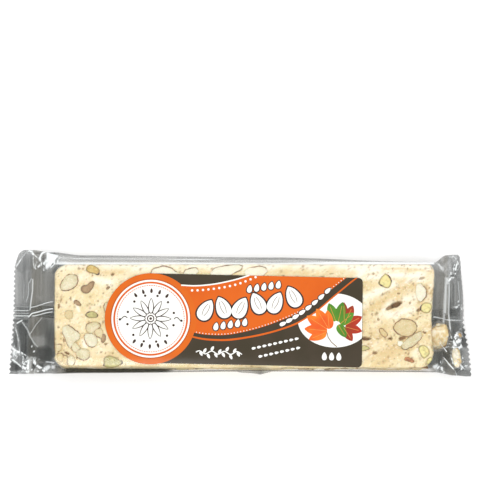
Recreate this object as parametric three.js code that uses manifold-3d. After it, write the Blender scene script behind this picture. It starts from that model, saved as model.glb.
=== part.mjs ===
// A flow-wrapped bar of nougat lying on its back: a clear film pack drawn round the bar, crimped shut
// at both ends and fin-sealed underneath, with a die-cut label on its face.
// Millimetres, +X along the bar, +Y towards its rear side, +Z up. The origin is on the resting face,
// at the centre of the plan.

import * as THREE from 'three';
import { mergeVertices } from 'three/addons/utils/BufferGeometryUtils.js';
import Module from 'manifold-3d';

const wasm = await Module();
wasm.setup();

const { lerp, clamp, smoothstep, degToRad } = THREE.MathUtils;

// Bar inside the film
const BAR_LEFT = -75.9;
const BAR_RIGHT = 78.4;
const BAR_REAR = 19.3;
const FACE_Z = 12.8;           // outside of the film over the bar's upper face
const BACK_Z = 0.25;           // outside of the film under the bar, beside the fin seal

// End seals
const SEAL_LEFT = -85;         // inner edges of the two crimps
const SEAL_RIGHT = 84.6;
const SEAL_Z = 5.2;
const SEAL_THICKNESS = 0.7;
const RIB_PITCH = 1.3;
const RIB_DEPTH = 0.5;
const LEFT_LEAN = 0.026;       // how far a crimp leans along X for each millimetre of Y
const RIGHT_LEAN = -0.09;
const TOOTH_PITCH = 2;
const TOOTH_DEPTH = 0.9;
const BLANK_END = 95.2;        // the lofted film runs out to here before its ends are pinked

// Side creases, where the face sheet of film turns into the back sheet, at stations along the pack
const STATIONS = [-BLANK_END, SEAL_LEFT, BAR_LEFT, -64, 12, BAR_RIGHT, SEAL_RIGHT, BLANK_END];
const REAR_CREASE = [26.4, 25.9, 24.3, 23.4, 22.9, 20.9, 24.2, 24.3];
const FRONT_CREASE = [-25, -24.9, -24.4, -24, -23.6, -23.8, -25.5, -26.4];
const CREASE_Z = [5.2, 5.2, 6.3, 6.6, 6.6, 6.6, 5.2, 5.2];
const OVER_BAR = [0, 0, 1, 1, 1, 1, 0, 0];
const SIDE_FULLNESS = [2, 2, 3.4, 3.4, 3.4, 3.4, 2, 2];   // superellipse power of the rounded sides
const FRONT_INSET = 0.9;       // how far the rounded front side reaches in over the bar
const SEAL_INSET = 0.3;
const SHOULDER = 4.5;          // extra rounding where the film comes down from the bar to a crimp

// Fin seal, folded flat against the back sheet
const FIN_FRONT = -2.2;
const FIN_REAR = 2.4;

// Loose lip of film that stands out of the front side
const LIP_X = 5.2;
const LIP_LENGTH = 13;
const LIP_REACH = 1.4;
const LIP_Z = 2;

// Gusset pleats between the bar's corners and the crimps: ridges and valleys in turn, from each side inwards
const PLEATS = 6;
const PLEAT_STEP = 2.2;
const PLEAT_DEPTH = 0.7;

// Cut ends of the film, as [y, x] from the front corner to the rear corner
const LEFT_END = [[-27, -93.8], [-18, -92.3], [0, -91.8], [21, -91.2], [27, -86.4]];
const RIGHT_END = [[-28, 93.3], [-20, 93.1], [0, 91.4], [18.5, 90.2], [25, 87]];

// Label, measured from the centre of its disc
const DISC_X = -36;
const DISC_Y = -3.4;
const DISC_RADIUS = 18.5;
const LABEL_RIGHT = 85.3;
const LABEL_REAR = 18.45;
const LABEL_FRONT = -17.9;
const LABEL_CORNER = 1.8;
const LABEL_TURN = degToRad(-1.28);
const LABEL_THICKNESS = 0.15;
const ADHESIVE = 0.02;

// Divisions of the lofted film
const SIDE_STEPS = 4;
const BAR_STEP = 6.5;
const SHOULDER_STEP = 1.7;
const LIP_STEP = 1.5;

// Value at x of a quantity listed for the stations, eased from one station to the next
function along(values, x) {
  const i = clamp(STATIONS.findIndex((station) => station > x) - 1, 0, STATIONS.length - 2);
  return lerp(values[i], values[i + 1], smoothstep(x, STATIONS[i], STATIONS[i + 1]));
}

// 0 over the bar and in the crimps, 1 halfway between them
function onShoulder(x) {
  const left = (x - SEAL_LEFT) / (BAR_LEFT - SEAL_LEFT);
  const right = (SEAL_RIGHT - x) / (SEAL_RIGHT - BAR_RIGHT);
  const t = clamp(Math.min(left, right), 0, 1);
  return 4 * t * (1 - t);
}

// Corrugation pressed into the crimps
function rib(x) {
  const ribs = Math.max(SEAL_LEFT - x, x - SEAL_RIGHT, 0) / RIB_PITCH;
  return (RIB_DEPTH / 2) * Math.min(ribs, 1) * (1 - Math.abs(4 * (ribs % 1) - 2));
}

function lean(x) {
  return LEFT_LEAN * smoothstep(-x, -BAR_LEFT, -SEAL_LEFT) + RIGHT_LEAN * smoothstep(x, BAR_RIGHT, SEAL_RIGHT);
}

// 1 at the middle of the loose lip, falling to 0 at its ends
function lip(x) {
  return Math.sqrt(clamp(1 - ((2 * (x - LIP_X)) / LIP_LENGTH) ** 2, 0, 1));
}

// Points of the face sheet that run in from one side, pleated on the shoulders
function pleats(x, sheet, inward) {
  return Array.from({ length: PLEATS }, (_, k) => {
    const rise = (k % 2 ? 1 : -1) * (1 - k / PLEATS) * PLEAT_DEPTH * onShoulder(x);
    return [sheet[0] + inward * PLEAT_STEP * (k + 1), sheet[1] + rise];
  });
}

// Quarter of a superellipse from a crease to the edge of a flat sheet
function roundedSide(crease, sheet, fullness) {
  return Array.from({ length: SIDE_STEPS + 1 }, (_, k) => {
    const angle = (k / SIDE_STEPS) * (Math.PI / 2);
    const out = Math.max(Math.cos(angle), 0) ** (2 / fullness);
    const up = Math.sin(angle) ** (2 / fullness);
    return [lerp(sheet[0], crease[0], out), lerp(crease[1], sheet[1], up)];
  });
}

// Closed outline of the pack at x: the face sheet from front to rear, then the back sheet with its fin
function section(x) {
  const overBar = along(OVER_BAR, x);
  const fullness = along(SIDE_FULLNESS, x);
  const front = [along(FRONT_CREASE, x) - LIP_REACH * lip(x), lerp(along(CREASE_Z, x), LIP_Z, lip(x))];
  const rear = [along(REAR_CREASE, x), along(CREASE_Z, x)];
  const frontY = along(FRONT_CREASE, x) + lerp(SEAL_INSET, FRONT_INSET, overBar) + SHOULDER * onShoulder(x);
  const rearY = lerp(rear[0] - SEAL_INSET, BAR_REAR - 0.4, overBar) - SHOULDER * onShoulder(x);
  const faceZ = lerp(SEAL_Z + SEAL_THICKNESS / 2, FACE_Z, overBar);
  const backZ = lerp(SEAL_Z - SEAL_THICKNESS / 2, BACK_Z, overBar);

  const face = roundedSide(front, [frontY, faceZ], fullness);
  face.push(...pleats(x, [frontY, faceZ], 1), [(frontY + rearY) / 2, faceZ]);
  face.push(...pleats(x, [rearY, faceZ], -1).reverse(), ...roundedSide(rear, [rearY, faceZ], fullness).reverse());

  const finZ = backZ - BACK_Z;
  const back = roundedSide(rear, [rearY, backZ], fullness).slice(1);
  back.push([FIN_REAR, backZ], [FIN_REAR, finZ], [FIN_FRONT, finZ], [FIN_FRONT, backZ]);
  back.push(...roundedSide(front, [frontY, backZ], fullness).slice(1).reverse());
  return [...face, ...back].map(([y, z]) => new THREE.Vector3(x + lean(x) * y, y, z + rib(x)));
}

// Places along X where the film is divided
function divisions() {
  const half = RIB_PITCH / 2;
  const spans = [
    [-BLANK_END, SEAL_LEFT, half], [SEAL_LEFT, BAR_LEFT, SHOULDER_STEP],
    [BAR_LEFT, LIP_X - LIP_LENGTH / 2, BAR_STEP], [LIP_X - LIP_LENGTH / 2, LIP_X + LIP_LENGTH / 2, LIP_STEP],
    [LIP_X + LIP_LENGTH / 2, BAR_RIGHT, BAR_STEP], [BAR_RIGHT, SEAL_RIGHT, SHOULDER_STEP],
    [SEAL_RIGHT, BLANK_END, half],
  ];
  const places = spans.flatMap(([from, to, step]) => {
    const count = Math.round((to - from) / step);
    return Array.from({ length: count }, (_, k) => lerp(from, to, k / count));
  });
  return [...places, BLANK_END];
}

// Closed solid through a row of like outlines
function loft(outlines) {
  const size = outlines[0].length;
  const index = [];
  for (let i = 0; i + 1 < outlines.length; i++) {
    for (let j = 0; j < size; j++) {
      const a = i * size + j;
      const b = i * size + ((j + 1) % size);
      index.push(a, a + size, b, b, a + size, b + size);
    }
  }
  const lid = THREE.ShapeUtils.triangulateShape(outlines[0].map((p) => new THREE.Vector2(p.y, p.z)), []);
  const far = (outlines.length - 1) * size;
  lid.forEach(([a, b, c]) => index.push(c, b, a, far + a, far + b, far + c));
  const geometry = new THREE.BufferGeometry().setFromPoints(outlines.flat());
  geometry.setIndex(index);
  return geometry;
}

// Everything beyond a pinked end of the film, from below the pack to above it
function beyondEnd(points, side) {
  const end = new THREE.CatmullRomCurve3(points.map(([y, x]) => new THREE.Vector3(x, y, 0)));
  const teeth = Math.round(end.getLength() / TOOTH_PITCH);
  const cut = end.getSpacedPoints(2 * teeth).map((p, k) => (
    new THREE.Vector2(p.x + side * (k % 2 ? TOOTH_DEPTH / 2 : -TOOTH_DEPTH / 2), p.y)));
  const outer = side * 2 * BLANK_END;
  const far = 2 * Math.max(...REAR_CREASE);
  const shape = new THREE.Shape([
    new THREE.Vector2(outer, -far), new THREE.Vector2(cut[0].x, -far), ...cut,
    new THREE.Vector2(cut.at(-1).x, far), new THREE.Vector2(outer, far),
  ]);
  const blade = new THREE.ExtrudeGeometry(shape, { depth: 3 * FACE_Z, bevelEnabled: false });
  return blade.translate(0, 0, -FACE_Z);
}

function toSolid(geometry) {
  geometry.deleteAttribute('normal');
  geometry.deleteAttribute('uv');
  const merged = mergeVertices(geometry, 1e-4);
  const vertProperties = new Float32Array(merged.attributes.position.array);
  const triVerts = new Uint32Array(merged.index.array);
  return new wasm.Manifold(new wasm.Mesh({ numProp: 3, vertProperties, triVerts }));
}

function fromSolid(solid) {
  const mesh = solid.getMesh();
  const geometry = new THREE.BufferGeometry();
  geometry.setAttribute('position', new THREE.BufferAttribute(mesh.vertProperties, 3));
  geometry.setIndex(new THREE.BufferAttribute(mesh.triVerts, 1));
  return geometry;
}

function filmPack() {
  const blank = toSolid(loft(divisions().map(section)));
  const pinked = blank.subtract(toSolid(beyondEnd(LEFT_END, -1))).subtract(toSolid(beyondEnd(RIGHT_END, 1)));
  const film = new THREE.MeshStandardMaterial({ color: 0xb4b8b2, roughness: 0.15, metalness: 0 });
  const mesh = new THREE.Mesh(fromSolid(pinked), film);
  mesh.name = 'film_pack';
  return mesh;
}

// Disc at the left that runs into a rectangle with two rounded corners
function label() {
  const join = (y) => Math.sqrt(DISC_RADIUS ** 2 - y ** 2);
  const shape = new THREE.Shape();
  shape.moveTo(join(LABEL_REAR), LABEL_REAR);
  shape.absarc(0, 0, DISC_RADIUS, Math.atan2(LABEL_REAR, join(LABEL_REAR)),
    2 * Math.PI + Math.atan2(LABEL_FRONT, join(LABEL_FRONT)), false);
  shape.lineTo(LABEL_RIGHT - LABEL_CORNER, LABEL_FRONT);
  shape.absarc(LABEL_RIGHT - LABEL_CORNER, LABEL_FRONT + LABEL_CORNER, LABEL_CORNER, -Math.PI / 2, 0, false);
  shape.absarc(LABEL_RIGHT - LABEL_CORNER, LABEL_REAR - LABEL_CORNER, LABEL_CORNER, 0, Math.PI / 2, false);
  const plate = new THREE.ExtrudeGeometry(shape, { depth: LABEL_THICKNESS, bevelEnabled: false, curveSegments: 30 });
  const paper = new THREE.MeshStandardMaterial({ color: 0xf0782a, roughness: 0.3, metalness: 0 });
  const mesh = new THREE.Mesh(plate, paper);
  mesh.name = 'label';
  mesh.rotation.z = LABEL_TURN;
  mesh.position.set(DISC_X, DISC_Y, FACE_Z + ADHESIVE);
  return mesh;
}

const group = new THREE.Group();
group.add(filmPack(), label());
export default group;
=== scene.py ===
"""A bar of almond and pistachio nougat in a clear flow pack with a die-cut label, lying on its back."""

import itertools
import math
from typing import NamedTuple

import bpy
import numpy as np
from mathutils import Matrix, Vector
from mathutils.geometry import delaunay_2d_cdt


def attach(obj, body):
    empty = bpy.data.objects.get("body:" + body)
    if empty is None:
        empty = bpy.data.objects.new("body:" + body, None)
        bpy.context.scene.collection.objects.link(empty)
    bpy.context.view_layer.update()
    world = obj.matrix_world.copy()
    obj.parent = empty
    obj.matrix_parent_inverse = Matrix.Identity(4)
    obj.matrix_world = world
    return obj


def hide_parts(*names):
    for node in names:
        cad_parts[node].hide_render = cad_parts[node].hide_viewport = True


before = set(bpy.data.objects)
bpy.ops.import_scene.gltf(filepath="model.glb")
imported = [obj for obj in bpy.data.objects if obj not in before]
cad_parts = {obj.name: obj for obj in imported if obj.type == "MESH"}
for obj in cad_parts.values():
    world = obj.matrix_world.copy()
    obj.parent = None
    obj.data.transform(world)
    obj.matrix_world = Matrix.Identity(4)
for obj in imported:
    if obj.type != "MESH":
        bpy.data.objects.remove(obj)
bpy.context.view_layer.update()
MM = 0.001  # sizes and places below are in millimetres, in the pack's own frame

# ---------------------------------------------------------------------------------------------
# Camera: stands on the pack's front side and looks down on the label, 8 degrees short of
# straight down. It is aimed beyond the rear side, so the pack lies low in the picture.
# ---------------------------------------------------------------------------------------------
CAMERA_DISTANCE = 800.0
CAMERA_ELEVATION = math.radians(82)
PICTURE_PIXELS = 480
PACK_BELOW_CENTRE = 73  # pixels from the picture's centre down to the middle of the label's height
MM_PER_PIXEL = 0.4032
LABEL_MIDDLE = np.array([0.0, -1.1, 12.8])

aim_up = math.atan(PACK_BELOW_CENTRE * MM_PER_PIXEL / CAMERA_DISTANCE)
camera_data = bpy.data.cameras.new("camera")
picture_width = PICTURE_PIXELS * MM_PER_PIXEL
camera_data.lens = camera_data.sensor_width * CAMERA_DISTANCE * math.cos(aim_up) / picture_width
camera = bpy.data.objects.new("camera", camera_data)
back = np.array([0, -math.cos(CAMERA_ELEVATION), math.sin(CAMERA_ELEVATION)])
camera.location = (LABEL_MIDDLE + CAMERA_DISTANCE * back) * MM
camera.rotation_euler = (math.pi / 2 - CAMERA_ELEVATION + aim_up, 0, 0)
bpy.context.scene.collection.objects.link(camera)
bpy.context.scene.camera = camera

# ---------------------------------------------------------------------------------------------
# Almonds: whole blanched and skin-on kernels stirred into the hot nougat, so the knife that
# cuts the bar leaves them as pale flush sections, some with a thread of brown skin round them.
# ---------------------------------------------------------------------------------------------
BAR_LOW = np.array([-75.1, -22.9, 0.5])
BAR_HIGH = np.array([77.7, 19.2, 12.35])
# Faces of the bar: a point on each, then the directions along it, up it and out of it
FACES = {
    "top": ((0, 0, BAR_HIGH[2]), (1, 0, 0), (0, 1, 0), (0, 0, 1)),
    "back": ((0, 0, BAR_LOW[2]), (1, 0, 0), (0, -1, 0), (0, 0, -1)),
    "front": ((0, BAR_LOW[1], 0), (1, 0, 0), (0, 0, 1), (0, -1, 0)),
    "rear": ((0, BAR_HIGH[1], 0), (-1, 0, 0), (0, 0, 1), (0, 1, 0)),
    "left": ((BAR_LOW[0], 0, 0), (0, -1, 0), (0, 0, 1), (-1, 0, 0)),
    "right": ((BAR_HIGH[0], 0, 0), (0, 1, 0), (0, 0, 1), (1, 0, 0)),
}


class Nut(NamedTuple):
    """A kernel cut through at a face of the bar, with lengths in mm and angles in degrees."""

    x: float
    y: float
    length: float
    width: float
    turn: float
    proud: float = 0.12  # how far its middle stands out of the face
    skin: tuple = ()  # (from, to) angles of each stretch of skin
    taper: float = 0.15  # how much narrower its tip is than its butt
    tint: float = 0.5  # its own shade, from 0 to 1
    face: str = "top"
    radii: tuple = ()  # its own outline, every 22.5 degrees, in place of length, width and taper

    def axes(self):
        """Its centre, and its directions along, across and out."""
        point, along, up, out = (np.array(v, float) for v in FACES[self.face])
        a = math.radians(self.turn)
        centre = point + self.x * along + self.y * up
        return centre, math.cos(a) * along + math.sin(a) * up, math.cos(a) * up - math.sin(a) * along, out

    def outline(self, angle):
        """Half size along its own axes at each angle."""
        if self.radii:
            radius = np.interp(np.degrees(angle) % 360, 22.5 * np.arange(17), self.radii + self.radii[:1])
            radius *= 1 + 0.015 * np.sin(11 * angle + self.x) + 0.015 * np.sin(17 * angle + self.y)
            return radius * np.cos(angle), radius * np.sin(angle)
        wobble = 0.05 * np.sin(3 * angle + self.x) + 0.04 * np.sin(5 * angle + self.y)
        wobble += 0.025 * np.sin(9 * angle + self.length)
        along = self.length / 2 * np.cos(angle) * (1 + wobble)
        across = self.width / 2 * np.sin(angle) * (1 + wobble) * (1 - self.taper * np.cos(angle))
        return along, across

    def reach(self, points):
        """How far out each point lies, 1 at the kernel's outline, and its height over the face."""
        centre, along, across, out = self.axes()
        offset = points - centre
        u, v = offset @ along, offset @ across
        angle = np.arctan2(v / self.width, u / self.length)
        edge = np.hypot(*self.outline(angle))
        return np.hypot(u, v) / edge, offset @ out


def shaped(x, y, radii, proud=0.12, skin=(), tint=0.5):
    """A kernel with an outline of its own in the upper face."""
    return Nut(x, y, 1, 1, 0, proud, skin, 0, tint, "top", radii)


ALMONDS = [
    shaped(-69.1, 11.4, (3.3, 3.7, 4.1, 3.5, 3.3, 3.0, 2.7, 2.8, 3.1, 3.9, 4.4, 3.5, 3.0, 2.8, 2.8, 3.1),
           0.1, ((-138, 62), (85, 110), (150, 212)), 0.7),
    shaped(-68.3, -10.1, (3.9, 3.3, 2.7, 2.9, 3.5, 4.5, 4.5, 3.6, 2.7, 2.5, 2.7, 3.6, 5.2, 3.4, 3.2, 3.9),
           0.25, ((18, 106), (20, 80), (155, 262)), 0.75),
    shaped(-59.4, -6.8, (3.1, 3.2, 2.7, 2.3, 2.1, 2.0, 2.2, 2.6, 2.6, 2.8, 2.9, 2.7, 2.5, 1.8, 1.7, 1.9),
           0.3, ((-18, 35), (95, 200)), 0.4),
    shaped(-60.0, -12.0, (2.6, 2.5, 2.3, 2.4, 2.6, 2.8, 3.4, 2.9, 2.4, 2.2, 2.3, 2.5, 2.8, 3.0, 3.0, 2.8),
           0.35, ((140, 300),), 0.82),
    shaped(-56.8, -9.2, (1.6, 1.7, 1.7, 1.9, 1.7, 1.8, 2.0, 1.8, 1.8, 1.6, 1.6, 1.6, 1.7, 2.4, 1.8, 1.5),
           0.1, ((180, 290),), 0.2),
    shaped(-63.1, -17.8, (2.7, 2.7, 2.5, 2.3, 2.2, 2.3, 2.5, 3.0, 2.9, 2.7, 2.3, 2.2, 2.3, 2.4, 2.6, 2.7),
           0.35, ((205, 345),), 0.5),
    shaped(-66.2, -15.0, (2.0, 1.5, 1.4, 1.5, 2.1, 2.0, 1.9, 1.8, 1.5, 1.6, 1.7, 1.9, 2.1, 1.7, 1.5, 1.8),
           0.2, ((150, 230),), 0.45),
    shaped(-73.2, -15.1, (1.4, 1.4, 1.7, 1.4, 1.3, 1.4, 1.5, 1.4, 1.2, 1.2, 1.4, 1.6, 1.5, 1.4, 1.3, 1.3),
           0.15, ((40, 110),), 0.25),
    shaped(-72.3, -19.0, (1.4, 1.3, 1.5, 1.6, 1.7, 1.7, 1.8, 1.4, 1.3, 1.3, 1.4, 1.8, 1.7, 1.8, 1.5, 1.3),
           0.25, ((20, 150),), 0.1),
    shaped(-70.3, -20.0, (1.1, 1.1, 1.3, 1.7, 1.7, 1.7, 1.2, 1.0, 1.0, 1.1, 1.3, 1.7, 1.7, 1.6, 1.1, 1.0),
           0.2, ((40, 140),), 0.15),
    shaped(-67.9, -20.4, (1.6, 1.6, 1.8, 2.0, 2.4, 2.0, 1.8, 1.5, 1.5, 1.6, 2.0, 2.0, 2.2, 2.0, 1.8, 1.6),
           0.3, ((150, 250), (300, 350)), 0.7),
    shaped(-69.0, -1.7, (1.5, 1.6, 1.7, 1.7, 1.7, 1.7, 1.9, 1.6, 1.7, 1.6, 1.6, 1.7, 1.8, 1.8, 1.8, 1.6),
           0.0, (), 0.22),
    shaped(73.0, 7.4, (2.2, 2.4, 2.5, 2.7, 3.6, 3.7, 2.6, 2.1, 1.9, 2.1, 2.4, 3.2, 3.9, 3.0, 2.7, 2.4),
           0.15, ((-80, 70), (-70, 40)), 0.9),
    shaped(66.7, -7.0, (4.6, 4.4, 3.9, 3.5, 3.4, 3.8, 3.7, 4.3, 4.9, 4.3, 3.7, 3.5, 3.5, 3.8, 3.9, 4.2),
           0.12, ((5, 168), (172, 240), (250, 356)), 0.2),
    shaped(69.2, -12.4, (2.7, 4.5, 5.5, 3.0, 1.9, 1.7, 1.8, 2.0, 2.7, 4.7, 5.0, 2.9, 2.4, 2.0, 2.0, 2.2),
           0.2, ((215, 385),), 0.6),
    shaped(64.4, -13.4, (1.1, 1.3, 1.1, 1.0, 0.9, 1.0, 1.2, 1.0, 1.0, 1.1, 1.1, 1.1, 1.2, 0.9, 0.9, 0.9),
           0.1, (), 1.0),
    shaped(57.7, -9.1, (1.3, 1.0, 0.9, 0.9, 1.4, 1.9, 2.2, 1.5, 1.1, 1.0, 1.0, 1.1, 1.4, 1.9, 1.9, 1.8),
           0.0, ((0, 200), (160, 360)), 0.0),
    Nut(-53.2, 0.8, 3.2, 5.0, 20, 0.05, ((110, 240),), 0.1, 0.4),
    Nut(-30.6, 13.4, 11.4, 9.4, 0, 0.05, ((30, 165),), 0.05, 1.0),
    Nut(-19.7, 15.6, 6.2, 3.4, 15, 0.05, ((20, 160),), tint=0.9),
    Nut(-5.6, 16.2, 13.4, 4.4, 14, 0.1, ((0, 150), (300, 350)), tint=0.95),
    Nut(6.4, 15.4, 9.4, 5.2, 12, 0.1, ((15, 110),), tint=0.95),
]
PISTACHIOS = [
    shaped(-59.6, 16.7, (2.5, 1.9, 1.6, 1.6, 1.8, 2.2, 2.5, 2.6, 2.7, 2.2, 1.7, 1.4, 1.4, 1.7, 2.9, 2.9),
           0.25, ((-60, -22),), 0.0),
    shaped(-59.7, -1.8, (2.3, 1.8, 1.5, 1.4, 1.4, 1.4, 1.6, 2.0, 2.5, 2.0, 1.5, 1.3, 1.2, 1.3, 1.6, 2.2),
           0.1, ((120, 215), (-25, 5)), 1.0),
    shaped(-51.5, -21.0, (4.4, 3.0, 2.4, 2.2, 2.4, 2.8, 3.2, 3.5, 3.1, 3.4, 2.9, 2.3, 2.1, 2.2, 2.5, 3.3),
           0.25, ((-15, 12), (190, 205)), 1.0),
    shaped(58.9, 11.9, (2.3, 2.2, 2.3, 2.6, 3.1, 2.5, 2.3, 2.3, 2.5, 2.8, 2.3, 2.3, 2.6, 2.9, 2.6, 2.4),
           0.3, ((-12, 75), (182, 245)), 0.4),
    shaped(75.2, 1.1, (2.2, 2.4, 2.4, 2.1, 2.0, 2.0, 2.1, 2.1, 2.2, 2.4, 2.2, 2.1, 2.1, 2.1, 2.0, 2.1),
           0.25, ((150, 215),), 0.45),
    shaped(74.0, -16.6, (2.0, 2.0, 2.1, 2.2, 2.4, 2.5, 2.6, 2.3, 1.9, 1.7, 1.8, 2.3, 2.8, 2.5, 2.3, 2.2),
           0.2, (), 0.55),
    shaped(76.1, -20.4, (0.9, 1.2, 1.6, 1.5, 1.1, 0.9, 0.9, 0.8, 0.9, 1.2, 1.5, 1.7, 1.1, 0.9, 0.8, 0.7),
           0.2, (), 0.45),
    shaped(49.9, -15.3, (2.2, 1.6, 1.2, 1.1, 1.1, 1.0, 1.1, 1.6, 1.8, 1.9, 1.5, 1.1, 0.9, 0.9, 1.0, 1.5),
           0.1, (), 0.8),
]
# Kernels that left their smooth skin-lined beds open in the face, and one scrap of loose skin
BEDS = [
    shaped(-61.5, 9.4, (2.0, 2.6, 3.6, 2.4, 1.3, 1.1, 1.1, 1.9, 2.8, 3.0, 2.9, 2.6, 2.2, 1.9, 1.7, 1.7),
           -0.5),
    shaped(-65.7, 3.0, (1.2, 1.0, 0.9, 0.9, 1.0, 1.4, 1.6, 1.6, 1.5, 1.0, 0.8, 0.8, 0.9, 1.2, 1.7, 1.7),
           -0.45),
    Nut(-53.4, 9.2, 1.6, 1.0, 40, -0.3, taper=0.0),
    shaped(-55.0, -11.3, (0.9, 1.0, 1.4, 1.6, 1.8, 1.6, 1.1, 1.0, 1.0, 1.0, 1.2, 1.8, 1.8, 1.4, 1.2, 1.0),
           -0.15),
]
SKIN_SCRAPS = [
    shaped(68.0, -20.0, (1.6, 1.1, 0.8, 0.8, 0.9, 1.2, 1.6, 1.9, 1.9, 1.1, 0.8, 0.7, 0.7, 0.9, 1.5, 2.3),
           0.25),
]


def scattered_nuts(face, count, span, rng):
    """Kernels that lie where they happened to, at random over one face of the bar."""
    nuts = []
    while len(nuts) < count:
        x, y = (rng.uniform(low, high) for low, high in span)
        length = rng.uniform(4.5, 9.5)
        if all(math.hypot(x - n.x, y - n.y) > (length + n.length) / 2 for n in nuts):
            start = rng.uniform(0, 360)
            nuts.append(Nut(x, y, length, length * rng.uniform(0.5, 0.75), rng.uniform(-35, 35), 0.15,
                            ((start, start + rng.uniform(100, 330)),), 0.2, rng.uniform(), face))
    return nuts


rng = np.random.default_rng(7)
for face, count, span in (
    ("front", 11, ((-70, 73), (3.6, 9.4))), ("rear", 11, ((-73, 70), (3.6, 9.4))),
    ("left", 3, ((-15, 18), (4, 9))), ("right", 3, ((-18, 15), (4, 9))),
    ("back", 26, ((-69, 71), (-15, 18))),
):
    for k, nut in enumerate(scattered_nuts(face, count, span, rng)):
        if k % 3:
            ALMONDS.append(nut)
        else:
            PISTACHIOS.append(nut._replace(length=nut.length * 0.62, width=nut.width * 0.7))


def hashed(cells, seed):
    """A repeatable random number from -1 to 1 for each whole-number cell of a 3-D lattice."""
    x, y, z = (cells[..., k].astype(np.uint32) for k in range(3))
    h = x * np.uint32(374761393) + y * np.uint32(668265263) + z * np.uint32(2246822519)
    h = h + np.uint32(seed * 3266489917 % 2**32)
    h = (h ^ (h >> np.uint32(15))) * np.uint32(2246822519)
    h = (h ^ (h >> np.uint32(13))) * np.uint32(3266489917)
    return (h ^ (h >> np.uint32(16))) / 2**31 - 1


def swell(points, size, seed, octaves=1):
    """Smooth unevenness from -1 to 1 with humps of this size in mm, and finer ones over them."""
    total = np.zeros(points.shape[:-1])
    for k in range(octaves):
        place = points * 2**k / size
        cell = np.floor(place).astype(np.int64)
        part = place - cell
        part = part * part * (3 - 2 * part)
        for corner in itertools.product((0, 1), repeat=3):
            weight = np.prod(np.where(corner, part, 1 - part), axis=-1)
            total += weight * hashed(cell + np.array(corner), seed + k) / 2**k
    return total


def piece(name, points, faces, **values):
    """A smooth mesh object from points in mm, with any per-point values as named attributes."""
    mesh = bpy.data.meshes.new(name)
    mesh.from_pydata((np.asarray(points) * MM).tolist(), [], [list(face) for face in faces])
    mesh.polygons.foreach_set("use_smooth", [True] * len(mesh.polygons))
    for key, per_point in values.items():
        attribute = mesh.attributes.new(key, "FLOAT", "POINT")
        attribute.data.foreach_set("value", np.asarray(per_point, np.float32))
    made = bpy.data.objects.new(name, mesh)
    bpy.context.scene.collection.objects.link(made)
    return made


def between_rings(first, rings, around):
    """Quads between closed rings of points that are numbered from first."""
    j = np.arange(around)
    a = first + (np.arange(rings - 1)[:, None] * around)
    quads = np.stack([a + j, a + around + j, a + around + (j + 1) % around, a + (j + 1) % around], axis=2)
    return quads.reshape(-1, 4).tolist()


def capped_rings(first, rings, around):
    """A closed lump: one point, then rings round it, then one point again."""
    j = np.arange(around)
    nxt = (j + 1) % around
    last = first + 1 + (rings - 1) * around
    start = np.stack([np.full_like(j, first), first + 1 + j, first + 1 + nxt], axis=1)
    end = np.stack([last + nxt, last + j, np.full_like(j, last + around)], axis=1)
    return between_rings(first + 1, rings, around) + start.tolist() + end.tolist()


# Rings of a kernel from the middle of its cut face, down its side, to its buried middle: how far
# out, what share of the proud height, and how deep in mm
KERNEL_RINGS = ((0.3, 0.97, 0), (0.55, 0.9, 0), (0.75, 0.75, 0), (0.9, 0.45, 0), (0.98, 0.1, 0),
                (1.0, 0, 0.25), (0.97, 0, 1.0), (0.6, 0, 1.7))
KERNEL_AROUND = 40
KERNEL_DEPTH = 1.8  # how deep its buried middle is


def kernels(name, nuts, seed, grain=0.05):
    """All kernels of one kind as one piece, with their 'tint' and how far 'out' each point is."""
    points, faces, out_values, tints = [], [], [], []
    angle = np.linspace(0, 2 * math.pi, KERNEL_AROUND, endpoint=False)
    for nut in nuts:
        centre, along, across, out = nut.axes()
        u, v = nut.outline(angle)
        first = len(out_values)
        local = [centre + nut.proud * out]
        reach = [0.0]
        for size, share, depth in KERNEL_RINGS:
            ring = centre + size * (u[:, None] * along + v[:, None] * across)
            local += list(ring + (share * nut.proud - depth) * out)
            reach += [size + depth] * KERNEL_AROUND
        local.append(centre - KERNEL_DEPTH * out)
        reach.append(3.0)
        local = np.array(local)
        local += grain * swell(local, 0.8, seed, 2)[:, None] * out
        local += nut.proud * 0.5 * swell(local, 2.4, seed + 5)[:, None] * out
        points += local.tolist()
        faces += capped_rings(first, len(KERNEL_RINGS), KERNEL_AROUND)
        out_values += reach
        tints += [nut.tint] * len(reach)
    return piece(name, points, faces, out=out_values, tint=tints)


def colour(red, green, blue):
    """A colour from 0-255 display values, as the linear numbers that a shader takes."""
    shares = (value / 255 for value in (red, green, blue))
    return (*(c / 12.92 if c <= 0.04 else ((c + 0.055) / 1.055) ** 2.4 for c in shares), 1.0)


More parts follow.
